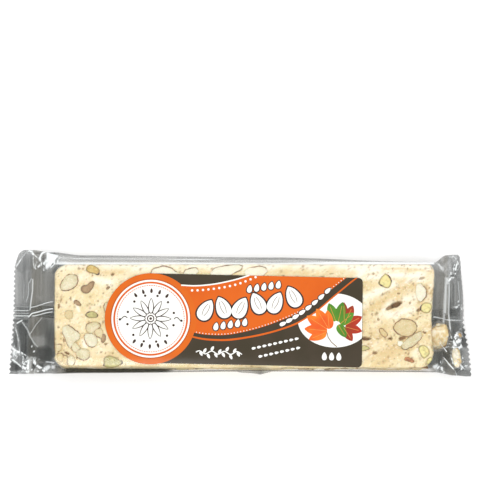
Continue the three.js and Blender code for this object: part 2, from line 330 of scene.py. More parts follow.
class Mixing:
    """A node output of a material that is being mixed. Sums on it are written as Python."""

    def __init__(self, tree, output=None):
        self.tree, self.output = tree, output

    def node(self, kind, settings=(), inputs=(), result=0):
        """Adds a node with its settings, then with plain values or links on its sockets."""
        made = self.tree.nodes.new("ShaderNode" + kind)
        for key, value in dict(settings).items():
            setattr(made, key, value)
        for key, value in dict(inputs).items():
            if isinstance(value, Mixing):
                self.tree.links.new(value.output, made.inputs[key])
            else:
                made.inputs[key].default_value = value
        return Mixing(self.tree, made.outputs[result]) if made.outputs else None

    def maths(self, operation, *values, clamp=False):
        """One sum on plain values and mixed ones."""
        return self.node("Math", {"operation": operation, "use_clamp": clamp}, enumerate(values))

    def __add__(self, other):
        return self.maths("ADD", self, other)

    def __mul__(self, other):
        return self.maths("MULTIPLY", self, other)

    def __sub__(self, other):
        return self.maths("SUBTRACT", self, other)

    def __rsub__(self, other):
        return self.maths("SUBTRACT", other, self)

    __radd__, __rmul__ = __add__, __mul__

    def ease(self, low, high):
        """0 below low, 1 above high and smooth between."""
        return self.node("MapRange", {"interpolation_type": "SMOOTHSTEP"},
                         {"Value": self, "From Min": low, "From Max": high})

    def blend(self, a, b):
        """Colour a where this is 0, colour b where it is 1, each mixed already or as display values."""
        a, b = (colour(*shade) if isinstance(shade, tuple) else shade for shade in (a, b))
        return self.node("Mix", {"data_type": "RGBA"}, {0: self, 6: a, 7: b}, result=2)

    def stored(self, name):
        """A value kept on the mesh's own points."""
        return self.node("Attribute", {"attribute_name": name}, result=2)

    def cloud(self, size, detail=2.0):
        """Soft noise from 0 to 1 with features of this size in mm."""
        place = self.node("TexCoord", result=3)  # in the pack's own frame
        return self.node("TexNoise", inputs={"Vector": place, "Scale": 1 / (size * MM), "Detail": detail})

    def bump(self, height, distance, strength=1.0):
        """A normal raised by height, 0 to 1, times distance in mm."""
        return self.node("Bump", inputs={"Height": height, "Distance": distance * MM, "Strength": strength})

    def body(self, base, roughness, more=()):
        """An opaque body of this colour and roughness, with any more sockets by name."""
        return self.node("BsdfPrincipled", inputs={"Base Color": base, "Roughness": roughness, **dict(more)})

    def surface(self, shader):
        """Ends the material with this shader."""
        self.node("OutputMaterial", inputs={"Surface": shader})


def finished(made, name):
    """Gives a piece a new empty material and returns its mixing."""
    material = bpy.data.materials.new(name)
    material.use_nodes = True
    material.node_tree.nodes.clear()
    made.data.materials.append(material)
    return Mixing(material.node_tree)


almonds = kernels("almond_kernels", ALMONDS, seed=11)
mix = finished(almonds, "almond_flesh")
flesh = mix.cloud(2.2, 3).ease(0.35, 0.65).blend((216, 207, 172), (200, 188, 142))
flesh = (mix.cloud(0.8, 2).ease(0.5, 0.75) * 0.5).blend(flesh, (180, 164, 120))
flesh = (mix.cloud(0.5, 1).ease(0.56, 0.7) * 0.5).blend(flesh, (246, 243, 226))
# Darker towards its outline, where the kernel turns down into the nougat: painted shade.
flesh = (mix.stored("out").ease(0.5, 1.0) * 0.35).blend(flesh, (184, 166, 122))
flesh = ((1 - mix.stored("tint")).ease(0.5, 1.0) * 0.6).blend(flesh, (208, 176, 108))
flesh = (mix.stored("tint").ease(0.6, 1.0) * 0.6).blend(flesh, (244, 242, 226))
mix.surface(mix.body(flesh, 0.4, {
    "Subsurface Weight": 0.1, "Subsurface Scale": 0.001, "Normal": mix.bump(mix.cloud(0.6, 3), 0.2)}))

pistachios = kernels("pistachio_kernels", PISTACHIOS, seed=23)
mix = finished(pistachios, "pistachio_flesh")
ripe = mix.stored("tint").ease(0.0, 0.5).blend((196, 162, 84), (226, 214, 144))
flesh = mix.stored("tint").ease(0.5, 1.0).blend(ripe, (168, 160, 96))
flesh = (mix.cloud(1.8, 3).ease(0.4, 0.65) * 0.35).blend(flesh, (228, 218, 148))
flesh = (mix.cloud(1.0, 2).ease(0.5, 0.7) * 0.45).blend(flesh, (146, 132, 76))
flesh = (mix.stored("out").ease(0.7, 1.0) * 0.65).blend(flesh, (132, 112, 60))
mix.surface(mix.body(flesh, 0.35, {
    "Subsurface Weight": 0.1, "Subsurface Scale": 0.0008, "Normal": mix.bump(mix.cloud(0.8, 3), 0.22)}))

beds = kernels("kernel_beds", BEDS, seed=31, grain=0.02)
mix = finished(beds, "bed_lining")
tone = mix.cloud(1.8, 2).ease(0.3, 0.7).blend((168, 138, 98), (146, 116, 78))
# Darker towards its rim and down its walls: painted shade of the open recess.
tone = (mix.stored("out").ease(0.6, 1.0) * 0.7).blend(tone, (124, 94, 62))
mix.surface(mix.body(tone, 0.5))

scraps = kernels("skin_scraps", SKIN_SCRAPS, seed=37)
mix = finished(scraps, "loose_skin")
tone = mix.cloud(0.9, 3).ease(0.35, 0.65).blend((196, 130, 78), (140, 84, 38))
mix.surface(mix.body(tone, 0.45, {"Normal": mix.bump(mix.cloud(0.6, 2), 0.2)}))

SKIN_STEP = 6  # degrees between its sections


def skins(name, nuts, thickness):
    """The threads of skin round cut kernels, as one piece of closed strips that thin out at their ends."""
    points, faces = [], []
    for nut in nuts:
        centre, along, across, out = nut.axes()
        for start, end in nut.skin:
            steps = max(4, int(abs(end - start) / SKIN_STEP))
            share = np.linspace(0, 1, steps + 1)
            angle = np.radians(start + (end - start) * share)
            u, v = nut.outline(angle)
            rim = centre + u[:, None] * along + v[:, None] * across
            radial = (rim - centre) / np.linalg.norm(rim - centre, axis=1)[:, None]
            uneven = 1 + 0.6 * np.sin(7 * angle + nut.x) * np.sin(3 * angle)
            width = (thickness * np.sin(math.pi * share) ** 0.4 * uneven)[:, None]
            first = len(points)
            sections = [rim - 0.3 * width * radial + 0.16 * out, rim + 0.7 * width * radial + 0.12 * out,
                        rim + 0.7 * width * radial - 0.6 * out, rim - 0.3 * width * radial - 0.6 * out]
            points += np.stack(sections, axis=1).reshape(-1, 3).tolist()
            for k in range(steps):
                a, b = first + 4 * k, first + 4 * k + 4
                faces += [[a + i, a + (i + 1) % 4, b + (i + 1) % 4, b + i] for i in range(4)]
            faces += [[first + 3, first + 2, first + 1, first], [first + 4 * steps + i for i in range(4)]]
    return piece(name, points, faces)


almond_skin = skins("almond_skins", ALMONDS, 0.24)
mix = finished(almond_skin, "almond_skin")
tone = mix.cloud(1.2).ease(0.3, 0.7).blend((172, 134, 98), (112, 74, 50))
mix.surface(mix.body(tone, 0.6))
pistachio_skin = skins("pistachio_skins", PISTACHIOS, 0.4)
mix = finished(pistachio_skin, "pistachio_skin")
tone = mix.cloud(1.0).ease(0.3, 0.7).blend((118, 92, 72), (62, 48, 46))
mix.surface(mix.body(tone, 0.5))

# ---------------------------------------------------------------------------------------------
# Bar: soft nougat of egg white, honey and sugar, poured in a slab and cut by hand, so its
# corners are rounded and its faces drag, tear and show the bubbles that were whipped in.
# ---------------------------------------------------------------------------------------------
CORNER = 4.2  # radius of the upright corners
SAG, SAG_FROM, SAG_TO = 0.42, -16.5, -22.5  # the upper face bends down to its front edge, most at the left
EDGE = 1.1  # radius of the long edges
FINE, COARSE = 0.34, 0.8  # spacing of the mesh along the bar where it shows, and under the label
ACROSS_BAR, UP_BAR = 0.38, 0.5  # spacing of the mesh across the bar and up its sides
LABEL_SPAN = (-50, 48)
# Holes and open bubbles on the upper face: x, y, length, width, turn, depth
HOLES = [
    (63.2, 2.5, 4.6, 2.1, 22, 2.8), (60.6, 1.2, 3.8, 1.6, 24, 1.0), (65.4, -11.2, 3.0, 1.5, 8, 1.4),
    (60.6, -11.4, 1.6, 1.0, 0, 1.2), (74.6, -8.9, 1.9, 0.8, -15, 1.2), (50.6, -11.4, 4.2, 1.4, -5, 1.8),
    (54.2, -17.2, 1.9, 1.3, 0, 0.9), (-73.2, 1.8, 0.9, 1.9, 0, 1.1), (-71.2, -12.1, 0.9, 1.4, 10, 1.0),
    (-51.6, 14.8, 1.5, 1.1, 30, 0.9), (-65.2, 17.2, 1.3, 1.0, 0, 0.5), (-63.6, 17.0, 0.9, 0.9, 0, 0.5),
    (-68.4, 4.8, 0.7, 1.6, 15, 0.6), (-68.6, -18.8, 1.4, 1.0, 40, 1.0),
    (-65.4, -18.9, 1.6, 0.9, 60, 0.8), (73.0, 13.2, 2.2, 1.1, 25, 0.6), (72.2, 0.2, 1.4, 2.0, -50, 1.1),
    (70.0, -2.0, 0.7, 0.7, 0, 0.7), (71.2, -3.6, 0.8, 0.6, 0, 0.6), (68.6, 3.0, 0.7, 1.0, 0, 0.7),
    (55.8, -3.6, 0.9, 1.2, 30, 0.7), (53.4, -1.6, 0.6, 1.0, 20, 0.6), (64.0, 7.0, 0.9, 0.7, 0, 0.7),
    (71.3, -6.4, 0.8, 0.8, 0, 0.6), (-69.9, -17.3, 2.6, 1.0, -25, 1.3),
    (-54.0, -13.6, 1.4, 0.9, 30, 0.8), (-55.8, -16.9, 1.0, 0.8, 0, 0.5), (-57.4, 3.8, 0.8, 0.6, 0, 0.5),
]
BUBBLES = 1900  # pinholes all over
NUT_DIP, HIGHEST = 0.75, 0.12  # how far the bar dips under a kernel, and the most that it stands out
ROOM_LOW, ROOM_HIGH = (0.6, 0.15, 0.15), (1.0, 0.15, 0.15)  # how far it may pass its low and high faces
# How far each end of the bar stands out or in at places along it, as (y, x)
RIGHT_PROFILE = ((-23, -1.2), (-20, -0.4), (-17, 0.3), (-13, -0.5), (-8, -0.5), (0, 0.0), (8, 0.5), (11, 1.0),
                 (13, 1.3), (17, 1.2), (18.3, 1.4), (19, 1.9))
LEFT_PROFILE = ((-23, 2.4), (-22, 1.2), (-21, 0.6), (-19.3, 0.2), (-18, 0.8), (-15, 0.65), (-8, 0.35),
                (0, 0.0), (8, 0.15), (15, 0.1), (17, 0.7), (18.3, 1.5), (19.2, 2.8))
# Drags that the knife left, and smears between them: points, width, depth, tan (1) or pale (-1)
DRAGS = [
    ([(48.6, -1.6), (53.0, 1.0), (58.3, 4.6), (64.3, 8.6), (70.4, 10.4)], 1.7, 0.32, 1),
    ([(54.0, 9.6), (60.5, 9.6), (66.5, 12.6)], 0.6, 0.12, 0.8),
    ([(51.5, 16.2), (58.0, 16.9), (66.0, 17.1), (74.0, 16.2)], 0.5, 0.1, 0.8),
    ([(56.4, -18.8), (66.0, -16.9), (71.0, -13.0)], 1.6, 0.14, 0.7),
    ([(50.2, -3.6), (50.4, -9.0)], 1.3, 0.1, 0.8),
    ([(52.5, 13.6), (62.0, 14.4), (73.0, 14.2)], 1.5, -0.05, -1),
    ([(49.8, 5.2), (55.5, 7.2), (62.0, 10.8)], 1.6, -0.08, -0.9),
    ([(57.5, -2.2), (63.0, -1.4), (69.5, 0.6)], 1.7, -0.05, -0.9),
    ([(66.5, 4.4), (71.0, 5.6)], 1.5, -0.05, -0.8),
    ([(48.6, 16.6), (56.0, 16.2)], 1.7, -0.05, -1),
    ([(52.0, -4.6), (57.5, -3.0)], 1.5, 0.05, 0.5),
    ([(-58.5, -19.3), (-53.0, -18.6)], 1.8, 0.04, 0.5),
    ([(-58.4, 12.4), (-52.6, 11.2)], 1.9, -0.05, -0.9),
    ([(-67.2, 4.6), (-64.8, -0.4)], 0.5, -0.04, -0.8),
    ([(-63.0, -12.8), (-62.2, -14.6)], 0.9, -0.05, -1),
]


def held(value):
    """A value kept from 0 to 1."""
    return np.clip(value, 0, 1)


def ramp(value, start, end):
    """0 at start, 1 at end and even between, whichever of the two is larger."""
    return held((value - start) / (end - start))


def rotated(x, y, degrees):
    """A place turned anticlockwise round the origin."""
    a = math.radians(degrees)
    return x * math.cos(a) - y * math.sin(a), x * math.sin(a) + y * math.cos(a)


def steps_along(low, high, spacing):
    """Even steps from low, short of high, about this far apart."""
    return np.linspace(low, high, max(1, round((high - low) / spacing)), endpoint=False)


def box_quads(counts):
    """Corner numbers of the quads that cover a box with this many cells along each side."""
    quads = []
    for axis in range(3):
        p, q = (axis + 1) % 3, (axis + 2) % 3
        i, j = np.meshgrid(np.arange(counts[p]), np.arange(counts[q]), indexing="ij")
        for end in (0, 1):
            quad = np.zeros((i.size, 4, 3), np.int64)
            quad[..., axis] = end * counts[axis]
            turn = ((0, 0), (1, 0), (1, 1), (0, 1)) if end else ((0, 0), (0, 1), (1, 1), (1, 0))
            for k, (di, dj) in enumerate(turn):
                quad[:, k, p], quad[:, k, q] = i.ravel() + di, j.ravel() + dj
            quads.append(quad)
    corners, index = np.unique(np.concatenate(quads).reshape(-1, 3), axis=0, return_inverse=True)
    return corners, index.reshape(-1, 4)


def distance_to(line, x, y):
    """Distance of each point from a line of straight stretches."""
    best = np.full(x.shape, 1e9)
    for (ax, ay), (bx, by) in zip(line, line[1:]):
        dx, dy = bx - ax, by - ay
        t = held(((x - ax) * dx + (y - ay) * dy) / (dx * dx + dy * dy))
        best = np.minimum(best, np.hypot(x - ax - t * dx, y - ay - t * dy))
    return best


def sagged(points):
    """Points of the upper side, let down where that side bends over towards the front."""
    points = np.array(points, float)
    low = np.clip((points[..., 1] - SAG_FROM) / (SAG_TO - SAG_FROM), 0, 1.2) ** 2
    low *= 1 - 0.75 * ramp(points[..., 0], -25, 35)
    points[..., 2] -= SAG * low * ramp(points[..., 2], 7, 12)
    return points


def bar_ends(x, y):
    """How far along X the bar's uneven ends move each point."""
    right = np.interp(y, *np.array(RIGHT_PROFILE).T) * ramp(x, 70, 76)
    return right + np.interp(y, *np.array(LEFT_PROFILE).T) * ramp(x, -66, -74)


def rounded(a, b):
    """Turns the square corner where a and b, from 0 to 1, both run out into a round one."""
    scale = np.maximum(a, b) / np.maximum(np.hypot(a, b), 1e-9)
    return a * scale, b * scale


xs = np.concatenate([steps_along(BAR_LOW[0], LABEL_SPAN[0], FINE), steps_along(*LABEL_SPAN, COARSE),
                     steps_along(LABEL_SPAN[1], BAR_HIGH[0], FINE), [BAR_HIGH[0]]])
ys = np.append(steps_along(BAR_LOW[1], BAR_HIGH[1], ACROSS_BAR), BAR_HIGH[1])
zs = np.append(steps_along(BAR_LOW[2], BAR_HIGH[2], UP_BAR), BAR_HIGH[2])
corners, bar_faces = box_quads((len(xs) - 1, len(ys) - 1, len(zs) - 1))
bar = np.stack([xs[corners[:, 0]], ys[corners[:, 1]], zs[corners[:, 2]]], axis=1)
# The box's upright corners are rounded first, then the long edges round them
middle, half = (BAR_LOW + BAR_HIGH) / 2, (BAR_HIGH - BAR_LOW) / 2
flat = bar - middle
core = np.clip(flat[:, :2], -(half[:2] - CORNER), half[:2] - CORNER)
spill = (flat[:, :2] - core) / CORNER
round_x, round_y = rounded(np.abs(spill[:, 0]), np.abs(spill[:, 1]))
spill = np.stack([round_x, round_y], axis=1) * np.sign(spill)
reach = np.linalg.norm(spill, axis=1)
over_edge = ramp(reach * CORNER, CORNER - EDGE, CORNER)
over_top = ramp(np.abs(flat[:, 2]), half[2] - EDGE, half[2])
new_out, new_up = rounded(over_edge, over_top)
shrink = np.where(over_edge > 0, (CORNER - EDGE + EDGE * new_out) / np.maximum(reach * CORNER, 1e-9), 1)
bar[:, :2] = middle[:2] + core + spill * CORNER * shrink[:, None]
edge_z = middle[2] + np.sign(flat[:, 2]) * (half[2] - EDGE + EDGE * new_up)
bar[:, 2] = np.where(over_top > 0, edge_z, bar[:, 2])


def surface_normals(points, quads):
    """Unit normals of a mesh's points."""
    a, b, c, d = (points[quads[:, k]] for k in range(4))
    face = np.cross(c - a, d - b)
    total = np.zeros_like(points)
    for k in range(4):
        np.add.at(total, quads[:, k], face)
    return total / np.maximum(np.linalg.norm(total, axis=1), 1e-12)[:, None]


def turned(points, degrees, stretch):
    """Points turned about Z and squeezed along their new X, to lay long streaks at that angle."""
    x, y = rotated(points[:, 0], points[:, 1], -degrees)
    return np.stack([x / stretch, y, points[:, 2]], axis=1)


normals = surface_normals(bar, bar_faces)
on_top = held(normals[:, 2] * 2 - 0.6)
torn = np.clip((bar[:, 0] - 38) / 16, 0.15, 1)
streak = swell(turned(bar, 33, 4.5), 1.3, 41, 3)
# Waves over the whole face, humps, streaks that the knife tore, grain, and pits
height = 0.22 * swell(bar, 11, 3) * (2 - on_top) + 0.12 * swell(bar, 3.2, 5, 3)
height += torn * 0.2 * np.clip(streak, -1, 0.3) + 0.1 * swell(bar, 1.0, 43, 2)
pitted = held(swell(bar, 1.15, 51, 2) - 0.62) * 2.4
height -= 0.45 * pitted
# Painted shade, darker than the nougat, in the pits and in the low parts of the torn streaks.
hollow = np.clip(pitted * 1.1 + torn * held(-streak - 0.45) * 0.8, 0, 0.8)
tan = held(0.45 + 0.9 * swell(turned(bar, 30, 2.4), 4.5, 61, 4)) * (0.6 + 0.4 * torn)
pale = (0.3 + torn) * swell(turned(bar, 30, 2.0), 3.4, 67, 4)
# Paler towards the rear, most over the right part of the bar, and along the rear edge: painted highlight
# where the light from the rear falls.
pale += np.clip((bar[:, 1] - 9) / 12, -0.3, 0.9) * torn + np.clip((bar[:, 1] - 15.8) / 3, 0, 0.85)
pale = held(pale)
ragged = 1 + 0.35 * swell(bar, 1.3, 77, 3)
for line, width, depth, tone in DRAGS:
    near = np.exp(-((distance_to(line, bar[:, 0], bar[:, 1]) * ragged / width) ** 2)) * on_top
    height -= depth * near
    tan = np.maximum(tan, near * tone) * np.where(tone < 0, 1 + near * tone, 1)
    pale = np.maximum(pale, -near * tone) * np.where(tone > 0, 1 - near * tone, 1)

rng = np.random.default_rng(5)
# Pinholes: each is sunk, with painted shade in it.
for _ in range(BUBBLES):
    spot = bar[rng.integers(len(bar))]
    size = rng.uniform(0.16, 0.5) * (1 if spot[0] > 40 or rng.uniform() < 0.4 else 0.5)
    near = np.nonzero(np.abs(bar - spot).max(axis=1) < 2.5 * size)[0]
    dip = np.exp(-((np.linalg.norm(bar[near] - spot, axis=1) / size) ** 2))
    height[near] -= 0.7 * size * dip
    hollow[near] = np.maximum(hollow[near], 0.85 * dip * min(1, 0.3 + size))

# Holes: each is sunk, with painted shade in it, darker where it is deeper.
for x, y, length, width, turn, depth in HOLES:
    reach, above = Nut(x, y, length, width, turn).reach(bar)
    well = ramp(reach, 1.15, 0.75) * (np.abs(above) < 2)
    height -= depth * well
    hollow = np.maximum(hollow, held(well * 1.3) * min(1.2, 0.5 + depth / 2))

sunk = np.zeros(len(bar))
for nut in ALMONDS + PISTACHIOS + BEDS + SKIN_SCRAPS:
    reach, above = nut.reach(bar)
    near = np.abs(above) < 1.6
    covered = ramp(reach, 1.08, 0.98) * near
    collar = np.exp(-(((reach - 1.22) / 0.12) ** 2)) * near
    calm = ramp(reach, 1.5, 1.15) * near
    height = height * (1 - 0.85 * calm) + 0.05 * collar
    sunk = np.maximum(sunk, covered)
height = np.minimum(height - NUT_DIP * sunk, HIGHEST)
bar += normals * height[:, None]
bar[:, 0] += bar_ends(bar[:, 0], bar[:, 1])
bar = np.clip(bar, BAR_LOW - ROOM_LOW, BAR_HIGH + ROOM_HIGH)

nougat = piece("nougat_bar", sagged(bar), bar_faces, hollow=hollow, tan=tan, pale=pale)
nut_pieces = (almonds, pistachios, beds, scraps, almond_skin, pistachio_skin)
for made in nut_pieces:
    place = np.zeros(3 * len(made.data.vertices), np.float32)
    made.data.vertices.foreach_get("co", place)
    made.data.vertices.foreach_set("co", (sagged(place.reshape(-1, 3) / MM) * MM).ravel())
mix = finished(nougat, "nougat")
base = mix.cloud(5, 3).ease(0.35, 0.68).blend((233, 219, 180), (225, 206, 158))
base = (mix.stored("tan") * 0.8).blend(base, (212, 185, 130))
base = (mix.cloud(1.0, 3).ease(0.55, 0.75) * 0.45).blend(base, (202, 170, 114))
# Paler where the bar is pale, which includes the painted highlight towards the rear.
base = (mix.stored("pale") * 0.8).blend(base, (250, 245, 228))
base = (mix.cloud(0.8, 2).ease(0.58, 0.72) * 0.5).blend(base, (250, 244, 228))
# Painted shade in the bar's pits, holes and torn hollows; on the crumbs also darker brown patches and shaded
# sides.
base = (mix.stored("hollow") * 0.85).blend(base, (134, 98, 54))
grain = mix.cloud(0.9, 4) * 0.7 + mix.cloud(0.35, 2) * 0.3
mix.surface(mix.body(base, 0.72, {
    "Specular IOR Level": 0.3, "Subsurface Weight": 0.1, "Subsurface Scale": 0.001,
    "Normal": mix.bump(grain, 0.3)}))

for made in (*nut_pieces, nougat):
    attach(made, "root")

# ---------------------------------------------------------------------------------------------
# Loose crumbs: pieces that broke off the bar. The largest lies between the bar and the right crimp.
# A smaller one and a flake of skin were caught in that crimp and squashed when it was sealed.
# ---------------------------------------------------------------------------------------------
CRUMBS = [  # middle, half size, turn, how much browner than the bar
    ((80.6, -9.8, 4.9), (3.8, 5.4, 2.7), -12, 0),
    ((87.8, -18.4, 5.2), (1.7, 4.2, 0.7), 8, -0.5),
    ((89.4, -9.1, 5.2), (0.6, 1.0, 0.35), 30, 1.5),
]
BOXY = 2.6  # 2 would be a ball, more is nearer to a box


def lumps(name, crumbs, rings=40, around=72):
    """Rough closed lumps as one piece, with 'hollow', 'tan' and 'pale' as the bar has them."""
    points, faces, brown = [], [], []
    rng = np.random.default_rng(19)
    polar = np.linspace(0, math.pi, rings + 2)[1:-1]
    angle = np.linspace(0, 2 * math.pi, around, endpoint=False)
    for middle, size, turn, browner in crumbs:
        ring = np.stack([np.outer(np.sin(polar), np.cos(angle)), np.outer(np.sin(polar), np.sin(angle)),
                         np.repeat(np.cos(polar)[:, None], around, axis=1)], axis=2).reshape(-1, 3)
        unit = np.concatenate([[(0, 0, 1)], ring, [(0, 0, -1)]])
        unit *= (np.abs(unit) ** BOXY).sum(axis=1)[:, None] ** (-1 / BOXY)
        for way in rng.normal(size=(18, 3)):  # each broken facet
            out = unit @ (way / np.linalg.norm(way))
            unit *= np.minimum(1, rng.uniform(0.76, 1.0) / np.maximum(out, 1e-6))[:, None]
        shape = unit * np.array(size) * 1.14
        shape *= (1 + 0.07 * swell(shape + 40, 2.4, 71) + 0.06 * swell(shape, 0.9, 73, 2))[:, None]
        shape = np.clip(shape, -np.array(size), size)
        laid = np.stack([*rotated(shape[:, 0], shape[:, 1], turn), shape[:, 2]], axis=1)
        faces += capped_rings(len(points), rings, around)
        points += (laid + np.array(middle)).tolist()
        # Its right and front sides are browner and darker, and the others paler: partly the broken side's own
        # brown, partly painted shade and painted highlight.
        outer = held(unit[:, 0] * 2 - 0.4) + 0.35 * held(-unit[:, 1])
        brown += (outer + browner).tolist()
    points = np.array(points)
    rough = swell(points, 1.6, 79, 3)
    brown = np.array(brown)
    return piece(name, points, faces, hollow=held(rough - 0.45 + 0.45 * brown),
                 tan=held(0.35 + rough + brown), pale=held(0.4 - rough - brown))


crumbs = lumps("loose_crumbs", CRUMBS)
crumbs.data.materials.append(nougat.data.materials[0])
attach(crumbs, "root")

# ---------------------------------------------------------------------------------------------
# Film bag: one web of thin, glossy, faintly smoky film drawn round the bar into a tube and pressed
# shut across both ends. It lies tight over the bar, and gathers and folds at the ends. Its folds carry
# painted white highlights, and its panes and facets carry painted shade and light.
# ---------------------------------------------------------------------------------------------
FACE_Z, BACK_Z = 12.78, 0.27  # film over and under the bar
WEB_LEFT, WEB_RIGHT = -94.0, 92.6  # its cut ends, before the teeth
SEAL_LEFT, SEAL_RIGHT = -85.0, 84.6  # inner edges of the crimps
SEAL_Z, SEAL_GAP = 5.2, 0.28  # height of the crimps, and the space between their two sheets
SLANT_LEFT, SLANT_RIGHT = 0.026, 0.09  # how far the crimps lean along the pack, for each mm across it
FARTHEST = (93.6, 25.95)  # no film lies beyond this
FINE_FILM, CRIMP_FILM, PLAIN_FILM = 0.31, 0.27, 1.6  # spacing of its rings
PLAIN_LEFT, PLAIN_RIGHT = -70.5, 72.5  # the rings stand far apart between these
TRIANGLE = 0.866  # height of a crumple's facet for each mm of its sides
# Its cross section at stations along the pack: where the rear and front creases are, whether it
# lies over the bar (1) or shut (0), and how full its sides are (2 is round, more is squarer)
STATIONS = np.array([-95.2, SEAL_LEFT, -75.9, -64, 12, 78.4, SEAL_RIGHT, 95.2])
REAR_CREASE = np.array([26.2, 25.9, 24.5, 23.2, 22.3, 20.1, 23.8, 24.1])
FRONT_CREASE = np.array([-25, -24.9, -24.6, -24.35, -23.75, -24.05, -25.6, -26.3])
OVER_BAR = np.array([0, 0, 1, 1, 1, 1, 0, 0])
FULLNESS = np.array([2, 2, 3.4, 3.4, 3.4, 3.4, 2, 2])
# How far each cut end reaches, as (y, x)
LEFT_END = ((-26, -93.4), (-19, -92.9), (-9, -92.3), (0, -92.0), (10, -92.0), (17, -92.1), (19.6, -91.9),
            (22.2, -91.2), (24.3, -90.5), (25.4, -89.5), (26.2, -87.8))
RIGHT_END = ((-26, 93.7), (-20, 93.1), (-15.6, 92.7), (-10, 91.7), (-3.7, 90.7), (0, 91.0), (7.6, 90.9),
             (17, 90.3), (20.8, 90.2), (23, 89.9), (24.6, 88.8))
RIB_PITCH, RIB_DEPTH = 1.3, 0.4
TOOTH_PITCH, TOOTH_DEPTH = 2.0, 0.9
# A loose lip of film that hangs out of the front crease: how far out and to what height, and how
# much of that there is, as (x, share)
LIP_REACH, LIP_Z = 1.1, 2.0
LIP = ((-1.6, 0), (0, 0.26), (3, 0.4), (6, 0.66), (8.6, 1), (10.4, 0.5), (12, 0.2), (13, 0))
SIDE_STEPS, ACROSS = 14, 140  # points of a sheet round each crease, and between them


def at_stations(values, x):
    """Value at x of something that is listed for the stations, eased between them."""
    i = np.clip(np.searchsorted(STATIONS, x, side="right") - 1, 0, len(STATIONS) - 2)
    t = ramp(x, STATIONS[i], STATIONS[i + 1])
    return values[i] + (values[i + 1] - values[i]) * t * t * (3 - 2 * t)


def ridged(distance, width):
    """1 on a line, falling smoothly to 0 beside it."""
    return np.exp(-((distance / width) ** 2))


def facets(x, y, size, seed):
    """Crumpled film: height from -1 to 1, a tone for each flat facet that serves as its painted shade, and
    how near a sharp fold is.
    """
    flat = np.stack([x, y, np.full_like(x, seed * 9.1)], axis=-1)
    x = x + 0.55 * size * swell(flat, 1.9 * size, seed + 3)
    y = y + 0.55 * size * swell(flat + 50, 1.9 * size, seed + 4)
    row = y / (TRIANGLE * size)
    column = x / size - row / 2
    i, j = np.floor(column).astype(np.int64), np.floor(row).astype(np.int64)
    u, v = column - i, row - j
    upper = u + v > 1
    shares = np.where(upper, [u + v - 1, 1 - u, 1 - v], [1 - u - v, u, v])
    up = upper.astype(np.int64)
    ends = np.array([[i + up, j + up], [i + 1 - up, j + up], [i + up, j + 1 - up]])
    layer = np.zeros_like(i)
    height = sum(shares[k] * hashed(np.stack([*ends[k], layer], axis=-1), seed) for k in range(3))
    tone = hashed(np.stack([i, j, up + 5], axis=-1), seed)
    fold = np.zeros_like(height)
    for k in range(3):
        both = ends[(k + 1) % 3] + ends[(k + 2) % 3]
        strength = hashed(np.stack([*both, layer + 9], axis=-1), seed)
        fold = np.maximum(fold, ridged(shares[k] * TRIANGLE * size, 0.28) * held(strength * 1.6))
    return height, tone, fold


def flat_swell(x, y, size, seed, octaves=2):
    """Smooth unevenness over the film, the same on both of its sheets."""
    return swell(np.stack([x, y, x * 0], axis=-1), size, seed, octaves)


def crimp_ribs(x):
    """How far the ribs across the crimps raise the film at x."""
    from_seal = np.where(x < 0, SEAL_LEFT - x, x - SEAL_RIGHT)
    return RIB_DEPTH / 2 * np.cos(2 * math.pi * from_seal / RIB_PITCH)


def inside(outline, x, y):
    """Whether each point lies inside a closed outline."""
    within = np.zeros(x.shape, bool)
    for (ax, ay), (bx, by) in zip(outline, outline[1:] + outline[:1]):
        if ay != by:
            within ^= ((ay > y) != (by > y)) & (x < (bx - ax) * (y - ay) / (by - ay) + ax)
    return within


def round_spot(x, y, middle_x, middle_y, radius):
    """1 at the middle of a round place, falling smoothly towards 0 beyond its radius."""
    return np.exp(-((x - middle_x) ** 2 + (y - middle_y) ** 2) / radius**2)
